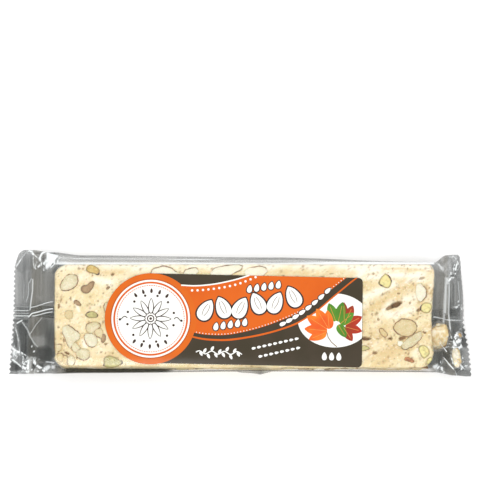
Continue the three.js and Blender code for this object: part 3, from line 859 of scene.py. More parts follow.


# Folds that stand up on the face sheet: points, width, whiteness of the painted highlight along it, height
FOLDS = [
    ([(-91.4, 19.1), (-89.5, 22.2), (-87.8, 24.6), (-86.2, 25.6)], 0.3, 0.6, 0.3),
    ([(-86.2, 25.6), (-85.1, 25.3), (-84.6, 24.1)], 0.4, 1, 0.3),
    ([(-84.6, 24.1), (-84.5, 20.7), (-84.1, 18.5)], 0.3, 0.45, 0.2),
    ([(-83.0, 21.0), (-83.8, 18.6), (-83.3, 18.0)], 0.3, 0.5, 0.2),
    ([(-85.1, 14.2), (-86.2, 12.1), (-86.3, 7.4), (-87.0, 4.7)], 0.3, 0.35, 0.15),
    ([(-84.6, 13.7), (-84.6, 9.1), (-85.2, 4.0), (-85.5, 1.2)], 0.35, 0.45, 0.2),
    ([(-88.2, 13.0), (-88.2, 5.7)], 0.3, 0.25, 0.1),
    ([(-84.1, 23.9), (-82.4, 22.2), (-81.3, 20.7)], 0.25, 0.6, 0.2),
    ([(-80.3, 18.6), (-79.7, 16.7), (-78.9, 18.3)], 0.3, 0.6, 0.2),
    ([(-90.7, -4.3), (-88.7, -3.1)], 0.3, 0.6, 0.15),
    ([(-88.5, -3.9), (-86.3, -6.9), (-85.2, -9.7)], 0.4, 0.35, 0.2),
    ([(-91.3, -6.1), (-90.2, -9.8), (-89.7, -13.6), (-89.3, -16.0)], 0.3, 0.45, 0.3),
    ([(-92.4, -10.2), (-92.0, -12.6), (-90.9, -14.7), (-89.6, -16.0)], 0.25, 0.6, 0.3),
    ([(-85.4, -8.9), (-82.8, -5.0), (-80.2, -2.6)], 0.25, 0.35, 0.1),
    ([(-85.2, -9.7), (-83.5, -12.3), (-81.9, -14.1)], 0.3, 0.4, 0.2),
    ([(-85.2, -9.8), (-83.0, -13.9)], 0.2, 0.3, 0.1),
    ([(86.9, 23.2), (88.4, 20.4)], 0.4, 0.6, 0.2),
    ([(85.9, 23.0), (87.3, 23.4), (88.7, 21.7), (89.3, 20.1)], 0.3, 0.6, 0.2),
    ([(87.9, 16.1), (88.2, 18.3), (88.6, 20.1)], 0.3, 0.8, 0.2),
    ([(87.7, 20.0), (87.1, 16.2)], 0.4, 0.7, 0.2),
    ([(86.1, 16.7), (86.1, 15.9)], 0.4, 0.7, 0.2),
    ([(85.3, 13.2), (86.1, 14.4), (87.2, 14.5)], 0.4, 1, 0.2),
    ([(89.0, 13.0), (89.5, 5.6), (89.5, 3.1)], 0.25, 0.35, 0.2),
    ([(88.9, 4.8), (88.4, 2.3)], 0.4, 0.6, 0.2),
    ([(77.9, -2.8), (90.4, -3.0)], 0.2, 0.6, 0.1),
    ([(85.0, -1.9), (89.0, -1.9)], 0.2, 0.25, 0.1),
    ([(80.2, -11.6), (82.8, -13.3)], 0.2, 0.6, 0.1),
    ([(80.6, -12.9), (81.9, -14.4), (83.6, -16.1)], 0.22, 0.9, 0.15),
    ([(82.1, -18.8), (84.6, -21.2), (87.2, -23.7), (87.9, -26.3)], 0.25, 1, 0.2),
    ([(85.4, -17.3), (86.5, -21.5), (87.2, -22.4)], 0.35, 0.6, 0.2),
    ([(89.0, -21.3), (90.8, -22.8)], 0.4, 0.7, 0.2),
    ([(90.8, -22.1), (93.4, -22.1)], 0.25, 0.5, 0.1),
    ([(90.5, -14.6), (89.4, -12.7), (89.7, -10.9)], 0.3, 0.5, 0.2),
    ([(-92.6, -14.2), (-90.8, -15.6), (-88.5, -16.5)], 0.45, 1, 0.3),
    ([(-88.5, -16.5), (-85.6, -18.0), (-82.4, -18.8), (-78.8, -20.6), (-74.8, -21.3)], 0.25, 0.5, 0.2),
    ([(-92.2, -19.1), (-90.2, -20.6), (-87.8, -22.9)], 0.3, 0.8, 0.2),
    ([(-83.5, -19.3), (-82.3, -21.8), (-80.5, -22.9), (-78.9, -24.1)], 0.42, 1, 0.4),
    ([(-84.5, -13.6), (-84.4, -13.9)], 0.25, 0.7, 0.1),
    ([(-83.6, -15.9), (-83.3, -15.9)], 0.28, 0.9, 0.1),
    ([(-79.1, 24.9), (-80.8, 24.3), (-81.7, 22.5), (-81.4, 21.1), (-80.2, 19.6), (-78.4, 20.2)], 0.4, 1, 0.4),
    ([(-78.4, 20.4), (-80.6, 19.9), (-82.4, 18.8)], 0.35, 1, 0.3),
    ([(-72.5, 21.9), (-74.5, 19.6), (-76.7, 17.3)], 0.2, 0.7, 0.1),
    ([(83.7, 14.8), (83.2, 7.6), (82.3, -0.6)], 0.25, 0.35, 0.3),
    ([(85.4, 15.7), (85.3, 7.6), (84.9, -0.6)], 0.3, 0.45, 0.4),
    ([(84.9, -0.6), (85.3, -5.3), (86.0, -10.9)], 0.4, 0.45, 0.3),
    ([(86.0, -10.9), (85.9, -14.4)], 0.3, 0.3, 0.2),
    ([(79.6, -22.6), (80.6, -23.4), (82.7, -24.6)], 0.25, 0.6, 0.2),
    ([(79.0, -22.3), (81.8, -23.2)], 0.22, 0.5, 0.2),
    ([(-92.6, 2.6), (-86.2, 2.4)], 0.2, 0.4, 0.1),
    ([(-92.6, 1.0), (-86.2, 0.9)], 0.22, 0.55, 0.1),
    ([(-92.6, -0.3), (-86.0, -0.3)], 0.2, 0.5, 0.1),
    ([(-92.6, -1.3), (-85.8, -1.2)], 0.24, 0.6, 0.1),
    ([(-92.6, -2.2), (-86.2, -2.1)], 0.18, 0.45, 0.1),
    ([(-84.9, 2.3), (-75.6, 3.5)], 0.2, 0.6, 0.15),
    ([(-86.0, -1.6), (-84.6, -0.2), (-82.0, 0.1), (-75.6, 0.6)], 0.24, 0.75, 0.2),
    ([(-84.6, -1.4), (-75.6, -0.7)], 0.22, 0.6, 0.15),
    ([(83.2, -14.6), (84.6, -13.8)], 0.3, 0.5, 0.1),
]
# Panes of film that lean their own way between the folds: outline, darkness (the film's smoke with the
# painted shade and light of its lean), whiteness of its painted highlight
PANES = [
    ([(-91.6, 18.3), (-87.8, 24.2), (-84.6, 23.6), (-84.5, 18.3), (-87.5, 17.6), (-89.0, 15.9)], 0.42, 0),
    ([(-84.1, 24.9), (-80.1, 25.2), (-81.8, 24.2), (-83.8, 24.1)], 0.55, 0),
    ([(-83.3, 6.7), (-81.3, 6.7), (-80.3, 4.1)], 0.28, 0.1),
    ([(-92.4, -2.8), (-89.8, -2.6), (-86.1, -2.8), (-86.3, -4.1), (-90.9, -4.3)], 0.55, 0),
    ([(-90.9, -4.6), (-88.5, -4.3), (-86.3, -7.4), (-85.2, -10.2), (-82.8, -13.9), (-82.4, -18.4),
     (-85.0, -18.0), (-89.1, -16.2), (-89.1, -12.6)], 0.56, 0),
    ([(-91.1, -7.6), (-90.7, -10.2), (-90.2, -14.7), (-91.6, -13.0), (-91.8, -9.8)], 0.58, 0),
    ([(-82.4, -14.1), (-78.6, -13.6), (-75.6, -15.4), (-75.4, -20.4), (-79.5, -20.1), (-82.1, -19.0),
     (-82.8, -17.3)], 0.6, 0),
    ([(-85.2, -9.7), (-78.9, -9.7), (-78.7, -14.1), (-81.9, -14.1)], 0.3, 0.12),
    ([(-85.2, -8.9), (-80.0, -2.4), (-78.0, -2.4), (-78.9, -9.1)], 0.47, 0),
    ([(85.6, 22.4), (86.9, 21.5), (87.6, 19.9), (86.9, 17.2), (85.6, 17.5)], 0.42, 0),
    ([(86.3, 15.7), (87.2, 15.9), (87.4, 15.0), (86.1, 15.0)], 0.6, 0),
    ([(87.7, 19.9), (88.4, 19.9), (88.6, 13.8), (87.7, 14.8)], 0.5, 0),
    ([(84.9, 12.2), (85.8, 12.2), (86.1, 0.4), (84.9, 0.4)], 0.5, 0),
    ([(86.7, 12.8), (87.4, 11.5), (87.2, 3.1), (86.6, 3.1)], 0.5, 0),
    ([(85.0, 1.6), (88.5, 1.6), (88.3, -1.4), (85.0, -1.4)], 0.5, 0),
    ([(78.1, -3.4), (80.3, -3.4), (79.9, -5.8), (77.9, -7.6)], 0.52, 0),
    ([(86.1, -3.7), (89.0, -4.3), (87.6, -8.0), (86.1, -10.9), (85.0, -7.2)], 0.5, 0),
    ([(86.8, -9.8), (88.8, -8.3), (89.6, -11.3), (88.3, -13.5), (87.2, -12.0)], 0.35, 0.4),
    ([(90.5, -7.0), (91.7, -6.7), (91.7, -10.2), (90.5, -9.8)], 0.6, 0),
    ([(89.7, -10.0), (91.4, -10.7), (90.8, -14.2), (90.1, -13.6)], 0.58, 0),
    ([(90.5, -14.2), (92.6, -14.6), (93.2, -20.1), (90.8, -21.3)], 0.36, 0.15),
    ([(79.0, -15.3), (83.6, -13.6), (86.1, -17.3), (86.5, -21.5), (85.0, -20.6), (82.3, -18.8),
     (79.6, -21.5)], 0.55, 0),
    ([(79.9, -21.7), (83.9, -21.2), (87.2, -24.5), (86.5, -25.9), (83.2, -24.6)], 0.5, 0),
    ([(87.9, -23.7), (93.7, -23.4), (93.9, -26.3), (88.1, -26.5)], 0.5, 0),
    ([(-93.0, -14.7), (-88.5, -16.9), (-86.7, -18.0), (-84.1, -18.8), (-84.0, -22.0),
     (-86.3, -24.7), (-90.9, -24.1), (-88.1, -22.9), (-92.2, -19.4)], 0.34, 0.35),
    ([(-91.1, -17.8), (-88.6, -17.4), (-88.2, -21.9), (-89.9, -20.6), (-90.8, -19.7)], 0.38, 0.05),
    ([(-92.3, -15.2), (-90.4, -15.9), (-90.1, -17.7), (-91.1, -19.4), (-92.1, -17.7)], 0.3, 0.75),
    ([(-88.3, -17.2), (-86.4, -18.1), (-85.1, -18.4), (-84.1, -20.0), (-84.2, -22.0),
     (-85.3, -24.1), (-86.3, -24.7), (-87.6, -22.9), (-88.3, -20.3)], 0.28, 0.8),
    ([(-88.3, -19.4), (-86.4, -20.6), (-84.9, -22.0), (-85.5, -23.2),
     (-87.5, -23.2), (-88.2, -22.0)], 0.3, 0.95),
    ([(-85.3, -18.4), (-84.2, -18.8), (-84.1, -21.8), (-84.9, -22.9), (-85.2, -21.5)], 0.2, 0.5),
    ([(-93.3, -22.0), (-92.6, -20.0), (-89.9, -21.2), (-88.1, -23.1),
     (-90.7, -23.8), (-93.3, -23.7)], 0.64, 0),
    ([(-84.3, -20.3), (-83.1, -21.2), (-83.2, -22.9), (-84.2, -22.9)], 0.64, 0),
    ([(-82.0, -20.3), (-79.1, -21.2), (-79.2, -22.5), (-81.1, -21.9)], 0.64, 0),
    ([(-87.8, -17.2), (-86.7, -17.4), (-86.8, -19.0), (-87.7, -18.3)], 0.6, 0),
    ([(-87.0, -20.3), (-86.2, -20.3), (-86.4, -21.2), (-87.0, -21.0)], 0.6, 0),
    ([(-79.0, -22.4), (-76.3, -22.2), (-76.2, -23.4), (-77.9, -24.3), (-79.4, -23.8)], 0.28, 0.6),
    ([(-75.9, -22.3), (-74.2, -22.3), (-74.4, -23.6), (-75.7, -23.6)], 0.3, 0.4),
    ([(-81.0, 22.8), (-79.7, 23.7), (-78.9, 22.2), (-79.6, 20.5), (-80.8, 20.8)], 0.5, 0),
    ([(-78.7, 24.8), (-77.7, 24.0), (-76.0, 23.1), (-73.4, 22.5), (-74.7, 20.8), (-76.0, 19.3),
     (-77.5, 17.1), (-78.7, 18.1), (-79.4, 19.6), (-78.4, 21.4)], 0.25, 1.15),
    ([(-78.1, 25.0), (-74.6, 23.8), (-71.9, 22.8), (-68.4, 22.8), (-68.4, 22.3),
     (-71.9, 22.2), (-74.9, 23.0), (-77.2, 23.7)], 0.62, 0),
    ([(-73.4, 22.2), (-72.6, 22.1), (-76.7, 17.2), (-77.4, 17.1)], 0.58, 0),
    ([(80.4, 20.1), (83.6, 21.7), (85.9, 23.0), (84.9, 20.5), (83.3, 19.7), (81.4, 19.7)], 0.42, 0),
    ([(79.8, 19.5), (81.1, 19.4), (83.3, 18.0), (83.1, 17.1), (81.7, 17.8)], 0.1, 1),
    ([(83.3, 19.7), (86.2, 23.0), (86.7, 20.1), (86.7, 15.7), (84.1, 15.4), (83.4, 17.3)], 0.27, 0.28),
    ([(80.1, 17.0), (82.6, 16.4), (84.0, 15.4), (83.6, 14.9), (80.0, 16.1)], 0.45, 0),
    ([(83.8, 14.7), (85.3, 14.7), (84.7, -0.6), (82.4, -0.6)], 0.15, 0.5),
    ([(84.5, 11.7), (84.9, 11.7), (84.4, -0.6), (83.9, -0.6)], 0.42, 0),
    ([(82.4, -0.6), (83.5, -0.6), (82.9, -4.6), (82.1, -4.6)], 0.15, 0.5),
    ([(87.2, -8.8), (89.0, -7.7), (89.9, -10.0), (89.2, -12.9), (87.9, -12.5), (86.8, -10.6)], 0.34, 0.95),
    ([(77.1, -22.6), (79.0, -21.8), (81.5, -22.6), (82.8, -24.6),
     (80.7, -23.8), (77.9, -23.7)], 0.36, 0.7),
    ([(88.8, -8.1), (90.2, -8.3), (90.1, -10.2), (88.7, -10.0)], 0.05, 0),
    ([(90.6, -6.4), (92.0, -6.8), (92.1, -10.0), (90.8, -9.4)], 0.64, 0),
    ([(90.0, -10.0), (92.7, -10.6), (92.4, -14.1), (90.1, -13.8)], 0.6, 0.05),
]
PANE_BLUR = 0.7  # width of a pane's soft edge
# Where the film is crumpled: middle, radius, how much
CRUMPLED = [
    (-89, -20.5, 4.5, 0.8), (-82, -21.5, 4, 0.7), (-79, 21, 3, 0.5), (-87, 23, 5, 0.25),
    (88.6, -10.5, 3.5, 1), (80.5, -23, 3.5, 0.9), (90, -21, 5, 0.7), (86, 19, 4.5, 0.65),
    (89.3, 2.5, 2.2, 0.9), (86.5, -13, 3, 0.4), (-91, -12, 3, 0.4), (-73, 22.5, 3, 0.4),
]

x_nominal = np.concatenate([
    steps_along(WEB_LEFT, SEAL_LEFT, CRIMP_FILM), steps_along(SEAL_LEFT, PLAIN_LEFT, FINE_FILM),
    steps_along(PLAIN_LEFT, PLAIN_RIGHT, PLAIN_FILM), steps_along(PLAIN_RIGHT, SEAL_RIGHT, FINE_FILM),
    steps_along(SEAL_RIGHT, WEB_RIGHT, CRIMP_FILM), [WEB_RIGHT]])
rings = len(x_nominal)
on_left = ramp(x_nominal, SEAL_LEFT, WEB_LEFT)
on_right = ramp(x_nominal, SEAL_RIGHT, WEB_RIGHT)
lip = np.interp(x_nominal, *np.array(LIP).T)
over = at_stations(OVER_BAR, x_nominal)
shoulder = np.minimum(ramp(x_nominal, SEAL_LEFT, STATIONS[2]), ramp(x_nominal, SEAL_RIGHT, STATIONS[5]))
shoulder = 4 * shoulder * (1 - shoulder)  # 1 halfway between a crimp and the bar
front_y = at_stations(FRONT_CREASE, x_nominal) - LIP_REACH * lip
front_z = SEAL_Z + (LIP_Z - SEAL_Z) * lip
rear_y = at_stations(REAR_CREASE, x_nominal)
# Where the flat of each sheet ends, drawn in where it gathers at the shoulders
sheet_front = at_stations(FRONT_CREASE, x_nominal) + 0.3 + 0.6 * over + 4.5 * shoulder
sheet_rear = (rear_y - 0.3) * (1 - over) + 18.9 * over - 4.5 * shoulder
face_z = (SEAL_Z + SEAL_GAP / 2) * (1 - over) + FACE_Z * over
back_z = (SEAL_Z - SEAL_GAP / 2) * (1 - over) + BACK_Z * over

angle = np.linspace(0, math.pi / 2, SIDE_STEPS + 1)
power = 2 / at_stations(FULLNESS, x_nominal)[:, None]
out = np.cos(angle).clip(0) ** power
rise = np.sin(angle) ** power
between = np.linspace(0, 1, ACROSS + 1)[1:-1]


def half_ring(sheet_z):
    """Points of one sheet on every ring, from the front crease to the rear crease."""
    front = sheet_front[:, None] + (front_y - sheet_front)[:, None] * out
    front_up = front_z[:, None] + (sheet_z - front_z)[:, None] * rise
    rear = sheet_rear[:, None] + (rear_y - sheet_rear)[:, None] * out
    rear_up = SEAL_Z + (sheet_z - SEAL_Z)[:, None] * rise
    flat = sheet_front[:, None] + (sheet_rear - sheet_front)[:, None] * between
    y = np.concatenate([front, flat, rear[:, ::-1]], axis=1)
    z = np.concatenate([front_up, sheet_z[:, None] + 0 * flat, rear_up[:, ::-1]], axis=1)
    return y, z


def with_ends(y):
    """X of every point, once the crimps lean and their ends are cut with teeth."""
    tooth = TOOTH_DEPTH / 2 * (1 - 4 * np.abs((y / TOOTH_PITCH) % 1 - 0.5))
    left = np.interp(y, *np.array(LEFT_END).T) - tooth * ramp(y, 20, 18)
    right = np.interp(y, *np.array(RIGHT_END).T) + tooth * np.clip(-y / 4, 0.15, 1)
    left_lean, right_lean = SLANT_LEFT * y, -SLANT_RIGHT * np.minimum(y, 0)
    x = x_nominal[:, None] + left_lean * (1 - at_stations(OVER_BAR, np.minimum(x_nominal, 0)))[:, None]
    x = x + right_lean * (1 - at_stations(OVER_BAR, np.maximum(x_nominal, 0)))[:, None]
    x = x + on_left[:, None] * (left - left_lean - WEB_LEFT)
    return x + on_right[:, None] * (right - right_lean - WEB_RIGHT)


last = SIDE_STEPS * 2 + ACROSS  # a sheet's points are numbered from 0 to this
face_y, face_height = half_ring(face_z)
_, back_height = half_ring(back_z)
x = np.clip(with_ends(face_y), -FARTHEST[0], FARTHEST[0])
y = np.clip(face_y, -FARTHEST[1], FARTHEST[1])
crimped = np.maximum(np.minimum(on_left * 8, 1), np.minimum(on_right * 8, 1))[:, None]
step_across = np.arange(last + 1)
free = held(np.minimum(step_across, last - step_across) / SIDE_STEPS) ** 0.5  # 0 at the creases
loose = sum(much * round_spot(x, y, cx, cy, radius) for cx, cy, radius, much in CRUMPLED)
at_end = held(1 - over)[:, None]
loose = held(loose) * held(at_end * 3 + 0.25)
# Crumples of two sizes that both sheets share at the crimps, with painted highlights on their folds and
# painted shade that differs from facet to facet
big, big_facet_shade, big_fold = facets(x, y, 6.5, 3)
small, small_facet_shade, small_fold = facets(x, y, 2.6, 5)
under, _, _ = facets(x, y, 6.0, 8)
room = np.clip((face_height - back_height) / 2, 0.12, 1.3)
shared = crimped * (crimp_ribs(x) + loose * (0.8 * big + 0.35 * small))
glints = np.clip(2.4 * flat_swell(x, y, 0.8, 95) - 0.7, 0, 0.8)
# Painted white highlights on the folds and glints of crumpled film.
white = loose * held(0.55 * big_fold + 0.5 * small_fold + glints)
low = ramp(-y, 2, 8)
drawn = flat_swell(x, y / 14, 0.75, 93)
# The film's smoke, darker towards the front, with painted shade that differs from facet to facet.
smoke = 0.355 + 0.1 * low + 0.07 * drawn + 0.14 * loose * big_facet_shade + 0.16 * loose * small_facet_shade
broken = 1 + (held(0.7 + 1.6 * flat_swell(x, y, 0.9, 91)) - 1) * held(loose * 2)
speckled = 1 + (np.clip(0.62 + 1.9 * flat_swell(x, y, 0.5, 92), 0.1, 1) - 1) * held(loose * 1.6)
ridge = np.zeros_like(x)
for outline, darkness, whiteness in PANES:
    rim = distance_to(outline + outline[:1], x, y)
    covered = held(0.5 + np.where(inside(outline, x, y), rim, -rim) / PANE_BLUR)
    smoke += covered * (darkness + 0.05 * drawn - smoke)
    white = np.maximum(white * (1 - covered), covered * whiteness * speckled)
    ridge += covered * (0.5 - darkness) * 0.5
for line, width, strength, height in FOLDS:
    near = ridged(distance_to(line, x, y), width)
    white = np.maximum(white, strength * near * broken)
    ridge = np.maximum(ridge, height * near)
own = (1 - crimped) * room * loose
face_height = face_height + free * (shared + own * (0.8 * big + 0.3 * small) + ridge * (1 - 0.5 * crimped))
back_height = back_height + free * (shared + own * (0.5 * under - 0.1))
# The film is clear where it lies tight on the bar's face and over the crumbs, which it bulges round
flat = np.stack([x - bar_ends(x, y), y], axis=-1)
core = np.clip(flat, BAR_LOW[:2] + CORNER, BAR_HIGH[:2] - CORNER)
clear = held(0.5 - (np.linalg.norm(flat - core, axis=-1) - CORNER) / PANE_BLUR)
over_face = clear
for middle, size, turn, _ in CRUMBS:
    u, v = rotated(x - middle[0], y - middle[1], -turn)
    span = np.abs(u / (size[0] + 0.5)) ** BOXY + np.abs(v / (size[1] + 0.5)) ** BOXY
    over_crumb = span * (1 + 0.5 / min(size[:2])) ** BOXY
    swollen = held(1 - span) ** (1 / BOXY) * (size[2] + 0.3)
    clear = np.maximum(clear, held((1.3 - over_crumb) * 5))
    face_height = np.where(swollen > 0, np.maximum(face_height, middle[2] + swollen), face_height)
    back_height = np.where(swollen > 0, np.minimum(back_height, middle[2] - swollen), back_height)

# Bands of film beside the bar. The rear one is streaked along it, with a dark line and a painted highlight
# line on its left half, and a painted highlight where it bends over the bar's rear edge. The front one
# darkens towards its crease, more at the left: painted shade.
streaks = flat_swell(x / 18, y, 0.9, 97)
outer = ramp(y, 19.6, rear_y[:, None])
left_half = ramp(x, 12, -18)
dark_line = 0.25 * ridged(outer - 0.2, 0.09) + 0.34 * ramp(outer, 0.6, 0.75)
rear_smoke = 0.08 * streaks + left_half * dark_line + (1 - left_half) * 0.36 * ramp(outer, 0.2, 0.55)
pale_highlight_line = left_half * 0.8 * ridged(outer - 0.4, 0.07) * held(0.8 + streaks)
rear_highlight = np.maximum(ramp(y, 19.85, 19.65) * ramp(y, 18.6, 18.8), pale_highlight_line)
from_edge = sheet_front[:, None] - y + 0.13 * (FACE_Z - face_height)
left_front = ramp(x, -26, -31)
# Painted shade on the front band, darker towards its crease and all over at the left; the lip, where it hangs
# out, is darker too.
front_smoke = 0.02 + 0.08 * ramp(from_edge, 0, 1.2) + 0.3 * lip[:, None] + 0.26 * left_front
at_crease = ramp(face_height, SEAL_Z + 2.4, SEAL_Z + 1.4) * (1 - lip[:, None])
front_smoke = np.maximum(front_smoke, at_crease * (0.75 + 0.1 * left_front))
beside = held(np.maximum(y - 18.4, -22 - y) / 0.3) * ramp(x, -76, -73) * ramp(x, 79.5, 78)
smoke = held(smoke + (np.where(y > 0, rear_smoke, front_smoke) - smoke) * beside) * (1 - clear)
white = held(white) * (1 - 0.9 * over_face)
white = np.maximum(white, beside * np.where(y > 0, rear_highlight, 0))
warm = np.maximum(at_end * (1 - crimped), beside * (y < 0))
dull = np.maximum(np.maximum(0.9 * smoke, 0.75 * warm), 0.97 * beside * (y < 0))

face_height = sagged(np.stack([x, y, np.minimum(face_height, FACE_Z)], axis=-1))[..., 2]
# Each ring runs over the face sheet and back under the other one
order = np.concatenate([np.arange(last + 1), np.arange(last - 1, 0, -1)])
on_face = np.arange(2 * last) <= last
film_z = np.where(on_face, face_height[:, order], back_height[:, order])
film_points = np.stack([x[:, order], y[:, order], film_z], axis=2)
film_faces = between_rings(0, rings, 2 * last)
for k in range(last):
    quad = list(dict.fromkeys([k, k + 1, 2 * last - k - 1, (2 * last - k) % (2 * last)]))
    film_faces += [quad, [(rings - 1) * 2 * last + i for i in reversed(quad)]]
film_white = np.where(on_face, 1, 0.4) * white[:, order]
film_bag = piece("film_bag", film_points.reshape(-1, 3), film_faces, smoke=smoke[:, order].ravel(),
                 white=film_white.ravel(), warm=warm[:, order].ravel(), dull=dull[:, order].ravel())
mix = finished(film_bag, "smoky_film_painted_light")
whiteness = mix.stored("white")
cover = mix.maths("ADD", mix.stored("smoke"), whiteness * 0.75, clamp=True)
normal = mix.bump(mix.cloud(1.4, 2), 0.05, 0.4)
tone = mix.stored("warm").blend((46, 54, 52), (76, 73, 58))
# Near black where the smoke and painted shade are heaviest.
tone = mix.stored("smoke").ease(0.43, 0.66).blend(tone, (22, 27, 25))
# White where highlights are painted on.
tone = whiteness.ease(0.0, 0.6).blend(tone, (236, 240, 240))
body = mix.body(tone, 0.4, {"Specular IOR Level": 0.0})
shell = mix.node("MixShader", inputs={0: cover, 1: mix.node("BsdfTransparent"), 2: body})
facing = mix.node("LayerWeight", inputs={"Blend": 0.5, "Normal": normal}, result=1)
shine = (mix.maths("POWER", facing, 5.0) * 0.4 + 0.06) * (1 - mix.stored("dull"))
mix.surface(mix.node("MixShader", inputs={
    0: shine, 1: shell, 2: mix.node("BsdfGlossy", inputs={"Roughness": 0.12, "Normal": normal})}))
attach(film_bag, "root")
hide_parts("film_pack")

# ---------------------------------------------------------------------------------------------
# Fin seal: the two long edges of the web, welded together and folded flat under the bag. It shows
# through both ends as a narrow strip with pale welded lines.
# ---------------------------------------------------------------------------------------------
FIN_LEFT, FIN_RIGHT, FIN_FRONT, FIN_REAR, FIN_DEPTH = -91.0, 90.6, -2.2, 2.5, 0.18
FIN_LINES = (-2.1, -0.6, 0.9, 2.4)  # welded lines along it
FIN_ACROSS = 26


def strip(x, y, z, depth):
    """Points and faces of a closed strip of film, from rows of points on its underside."""
    low = np.stack(np.broadcast_arrays(x[:, None], y, z), axis=2)
    points = np.concatenate([low + np.array([0, 0, depth]), low[:, ::-1]], axis=1).reshape(-1, 3)
    rows, across = low.shape[:2]
    faces = between_rings(0, rows, 2 * across)
    for k in range(across - 1):
        quad = [k, k + 1, 2 * across - 2 - k, 2 * across - 1 - k]
        faces += [quad, [(rows - 1) * 2 * across + i for i in reversed(quad)]]
    return points, faces


def both_sides(values):
    """A strip's values for each point, from those across its upper side."""
    return np.concatenate([values, values[:, ::-1]], axis=1).ravel()


fin_x = np.concatenate([steps_along(FIN_LEFT, -70, 0.4), steps_along(-70, 72, 2.0),
                        steps_along(72, FIN_RIGHT, 0.4), [FIN_RIGHT]])
fin_over = at_stations(OVER_BAR, fin_x)
fin_up = (SEAL_Z - SEAL_GAP / 2 - 0.3) * (1 - fin_over) + np.where(fin_over == 0, crimp_ribs(fin_x), 0)
fin_y = np.linspace(FIN_FRONT, FIN_REAR, FIN_ACROSS)
jog = 0.8 * ramp(fin_x, -85.6, -84.4) * ramp(fin_x, -74, -76) - 0.6 * (fin_x > 0)
shown = np.where(fin_x < 0, 1.0, 0.12)[:, None]  # only its front edge shows at the right
fin_white = 0.4 * sum(ridged(fin_y - at, 0.2) * (shown if at > FIN_LINES[0] else 1) for at in FIN_LINES)
fin = piece("fin_seal", *strip(fin_x, fin_y + jog[:, None], np.maximum(fin_up, 0)[:, None], FIN_DEPTH),
            smoke=np.repeat(0.16 * shown, 2 * FIN_ACROSS), white=both_sides(fin_white),
            warm=both_sides(0 * fin_white), dull=np.repeat(0.14 * shown, 2 * FIN_ACROSS))
fin.data.materials.append(film_bag.data.materials[0])
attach(fin, "root")

# ---------------------------------------------------------------------------------------------
# Painted shade strip: a dark sheet laid in the gap between the bar's front and the front crease, standing
# in for the shade under the bag there. It looks dark through the bag, all over at the left and as a line at
# the right.
# ---------------------------------------------------------------------------------------------
SHADE_STRIP_LEFT, SHADE_STRIP_RIGHT, SHADE_STRIP_REAR = -72.5, 76.5, -22.95
SHADE_STRIP_GAP, SHADE_STRIP_DEPTH = 0.12, 0.05  # between it and the crease, and its own thickness
SHADE_STRIP_RISE = 2.1  # how far it climbs from the crease to the bar
shade_strip_x = np.linspace(SHADE_STRIP_LEFT, SHADE_STRIP_RIGHT, 200)
out_to_crease = np.linspace(0, 1, 12)
shade_strip_y = SHADE_STRIP_REAR + (at_stations(FRONT_CREASE, shade_strip_x) + SHADE_STRIP_GAP - SHADE_STRIP_REAR)[:, None] * out_to_crease
shade_strip_z = SEAL_Z + SHADE_STRIP_RISE * (1 - out_to_crease) ** 1.5
uneven = np.clip(0.85 + 0.5 * flat_swell(shade_strip_x / 9, shade_strip_x * 0, 1, 99, 1), 0.3, 1)
# Its painted shade: a dark line near the crease, dark all over at the left, fading at its ends.
dark = 0.55 * uneven[:, None] * ramp(out_to_crease, 0.66, 0.81)
dark = np.maximum(dark, 0.72 * ramp(shade_strip_x, -26, -31)[:, None])
dark *= held(np.minimum(shade_strip_x - SHADE_STRIP_LEFT, SHADE_STRIP_RIGHT - shade_strip_x) / 3)[:, None]
shade_strip = piece("painted_shade_strip", *strip(shade_strip_x, shade_strip_y, shade_strip_z, SHADE_STRIP_DEPTH), smoke=both_sides(dark))
mix = finished(shade_strip, "painted_shade_strip")
tone = mix.cloud(3, 2).ease(0.3, 0.7).blend((40, 44, 40), (54, 54, 46))
body = mix.body(tone, 0.5, {"Specular IOR Level": 0.0})
mix.surface(mix.node("MixShader", inputs={0: mix.stored("smoke"), 1: mix.node("BsdfTransparent"), 2: body}))
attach(shade_strip, "root")

# ---------------------------------------------------------------------------------------------
# Label: one glossy die-cut sticker, a disc that runs into a long panel with two round corners.
# Its stock is printed black-brown all over, and it is stuck on the film over the bar.
# ---------------------------------------------------------------------------------------------
DISC_MIDDLE = np.array([-36.0, -3.4])
DISC_RADIUS = 18.5
LABEL_RIGHT, LABEL_REAR, LABEL_FRONT, LABEL_CORNER = 85.3, 18.45, -17.9, 1.8  # from the disc's middle
LABEL_TURN = -1.28  # degrees
LABEL_LOW, LABEL_HIGH = 12.82, 12.895


def arc(middle, radius, start, end, steps):
    """Points of an arc from start to end degrees."""
    a = np.radians(np.linspace(start, end, steps + 1))
    return [(middle[0] + radius * math.cos(t), middle[1] + radius * math.sin(t)) for t in a]


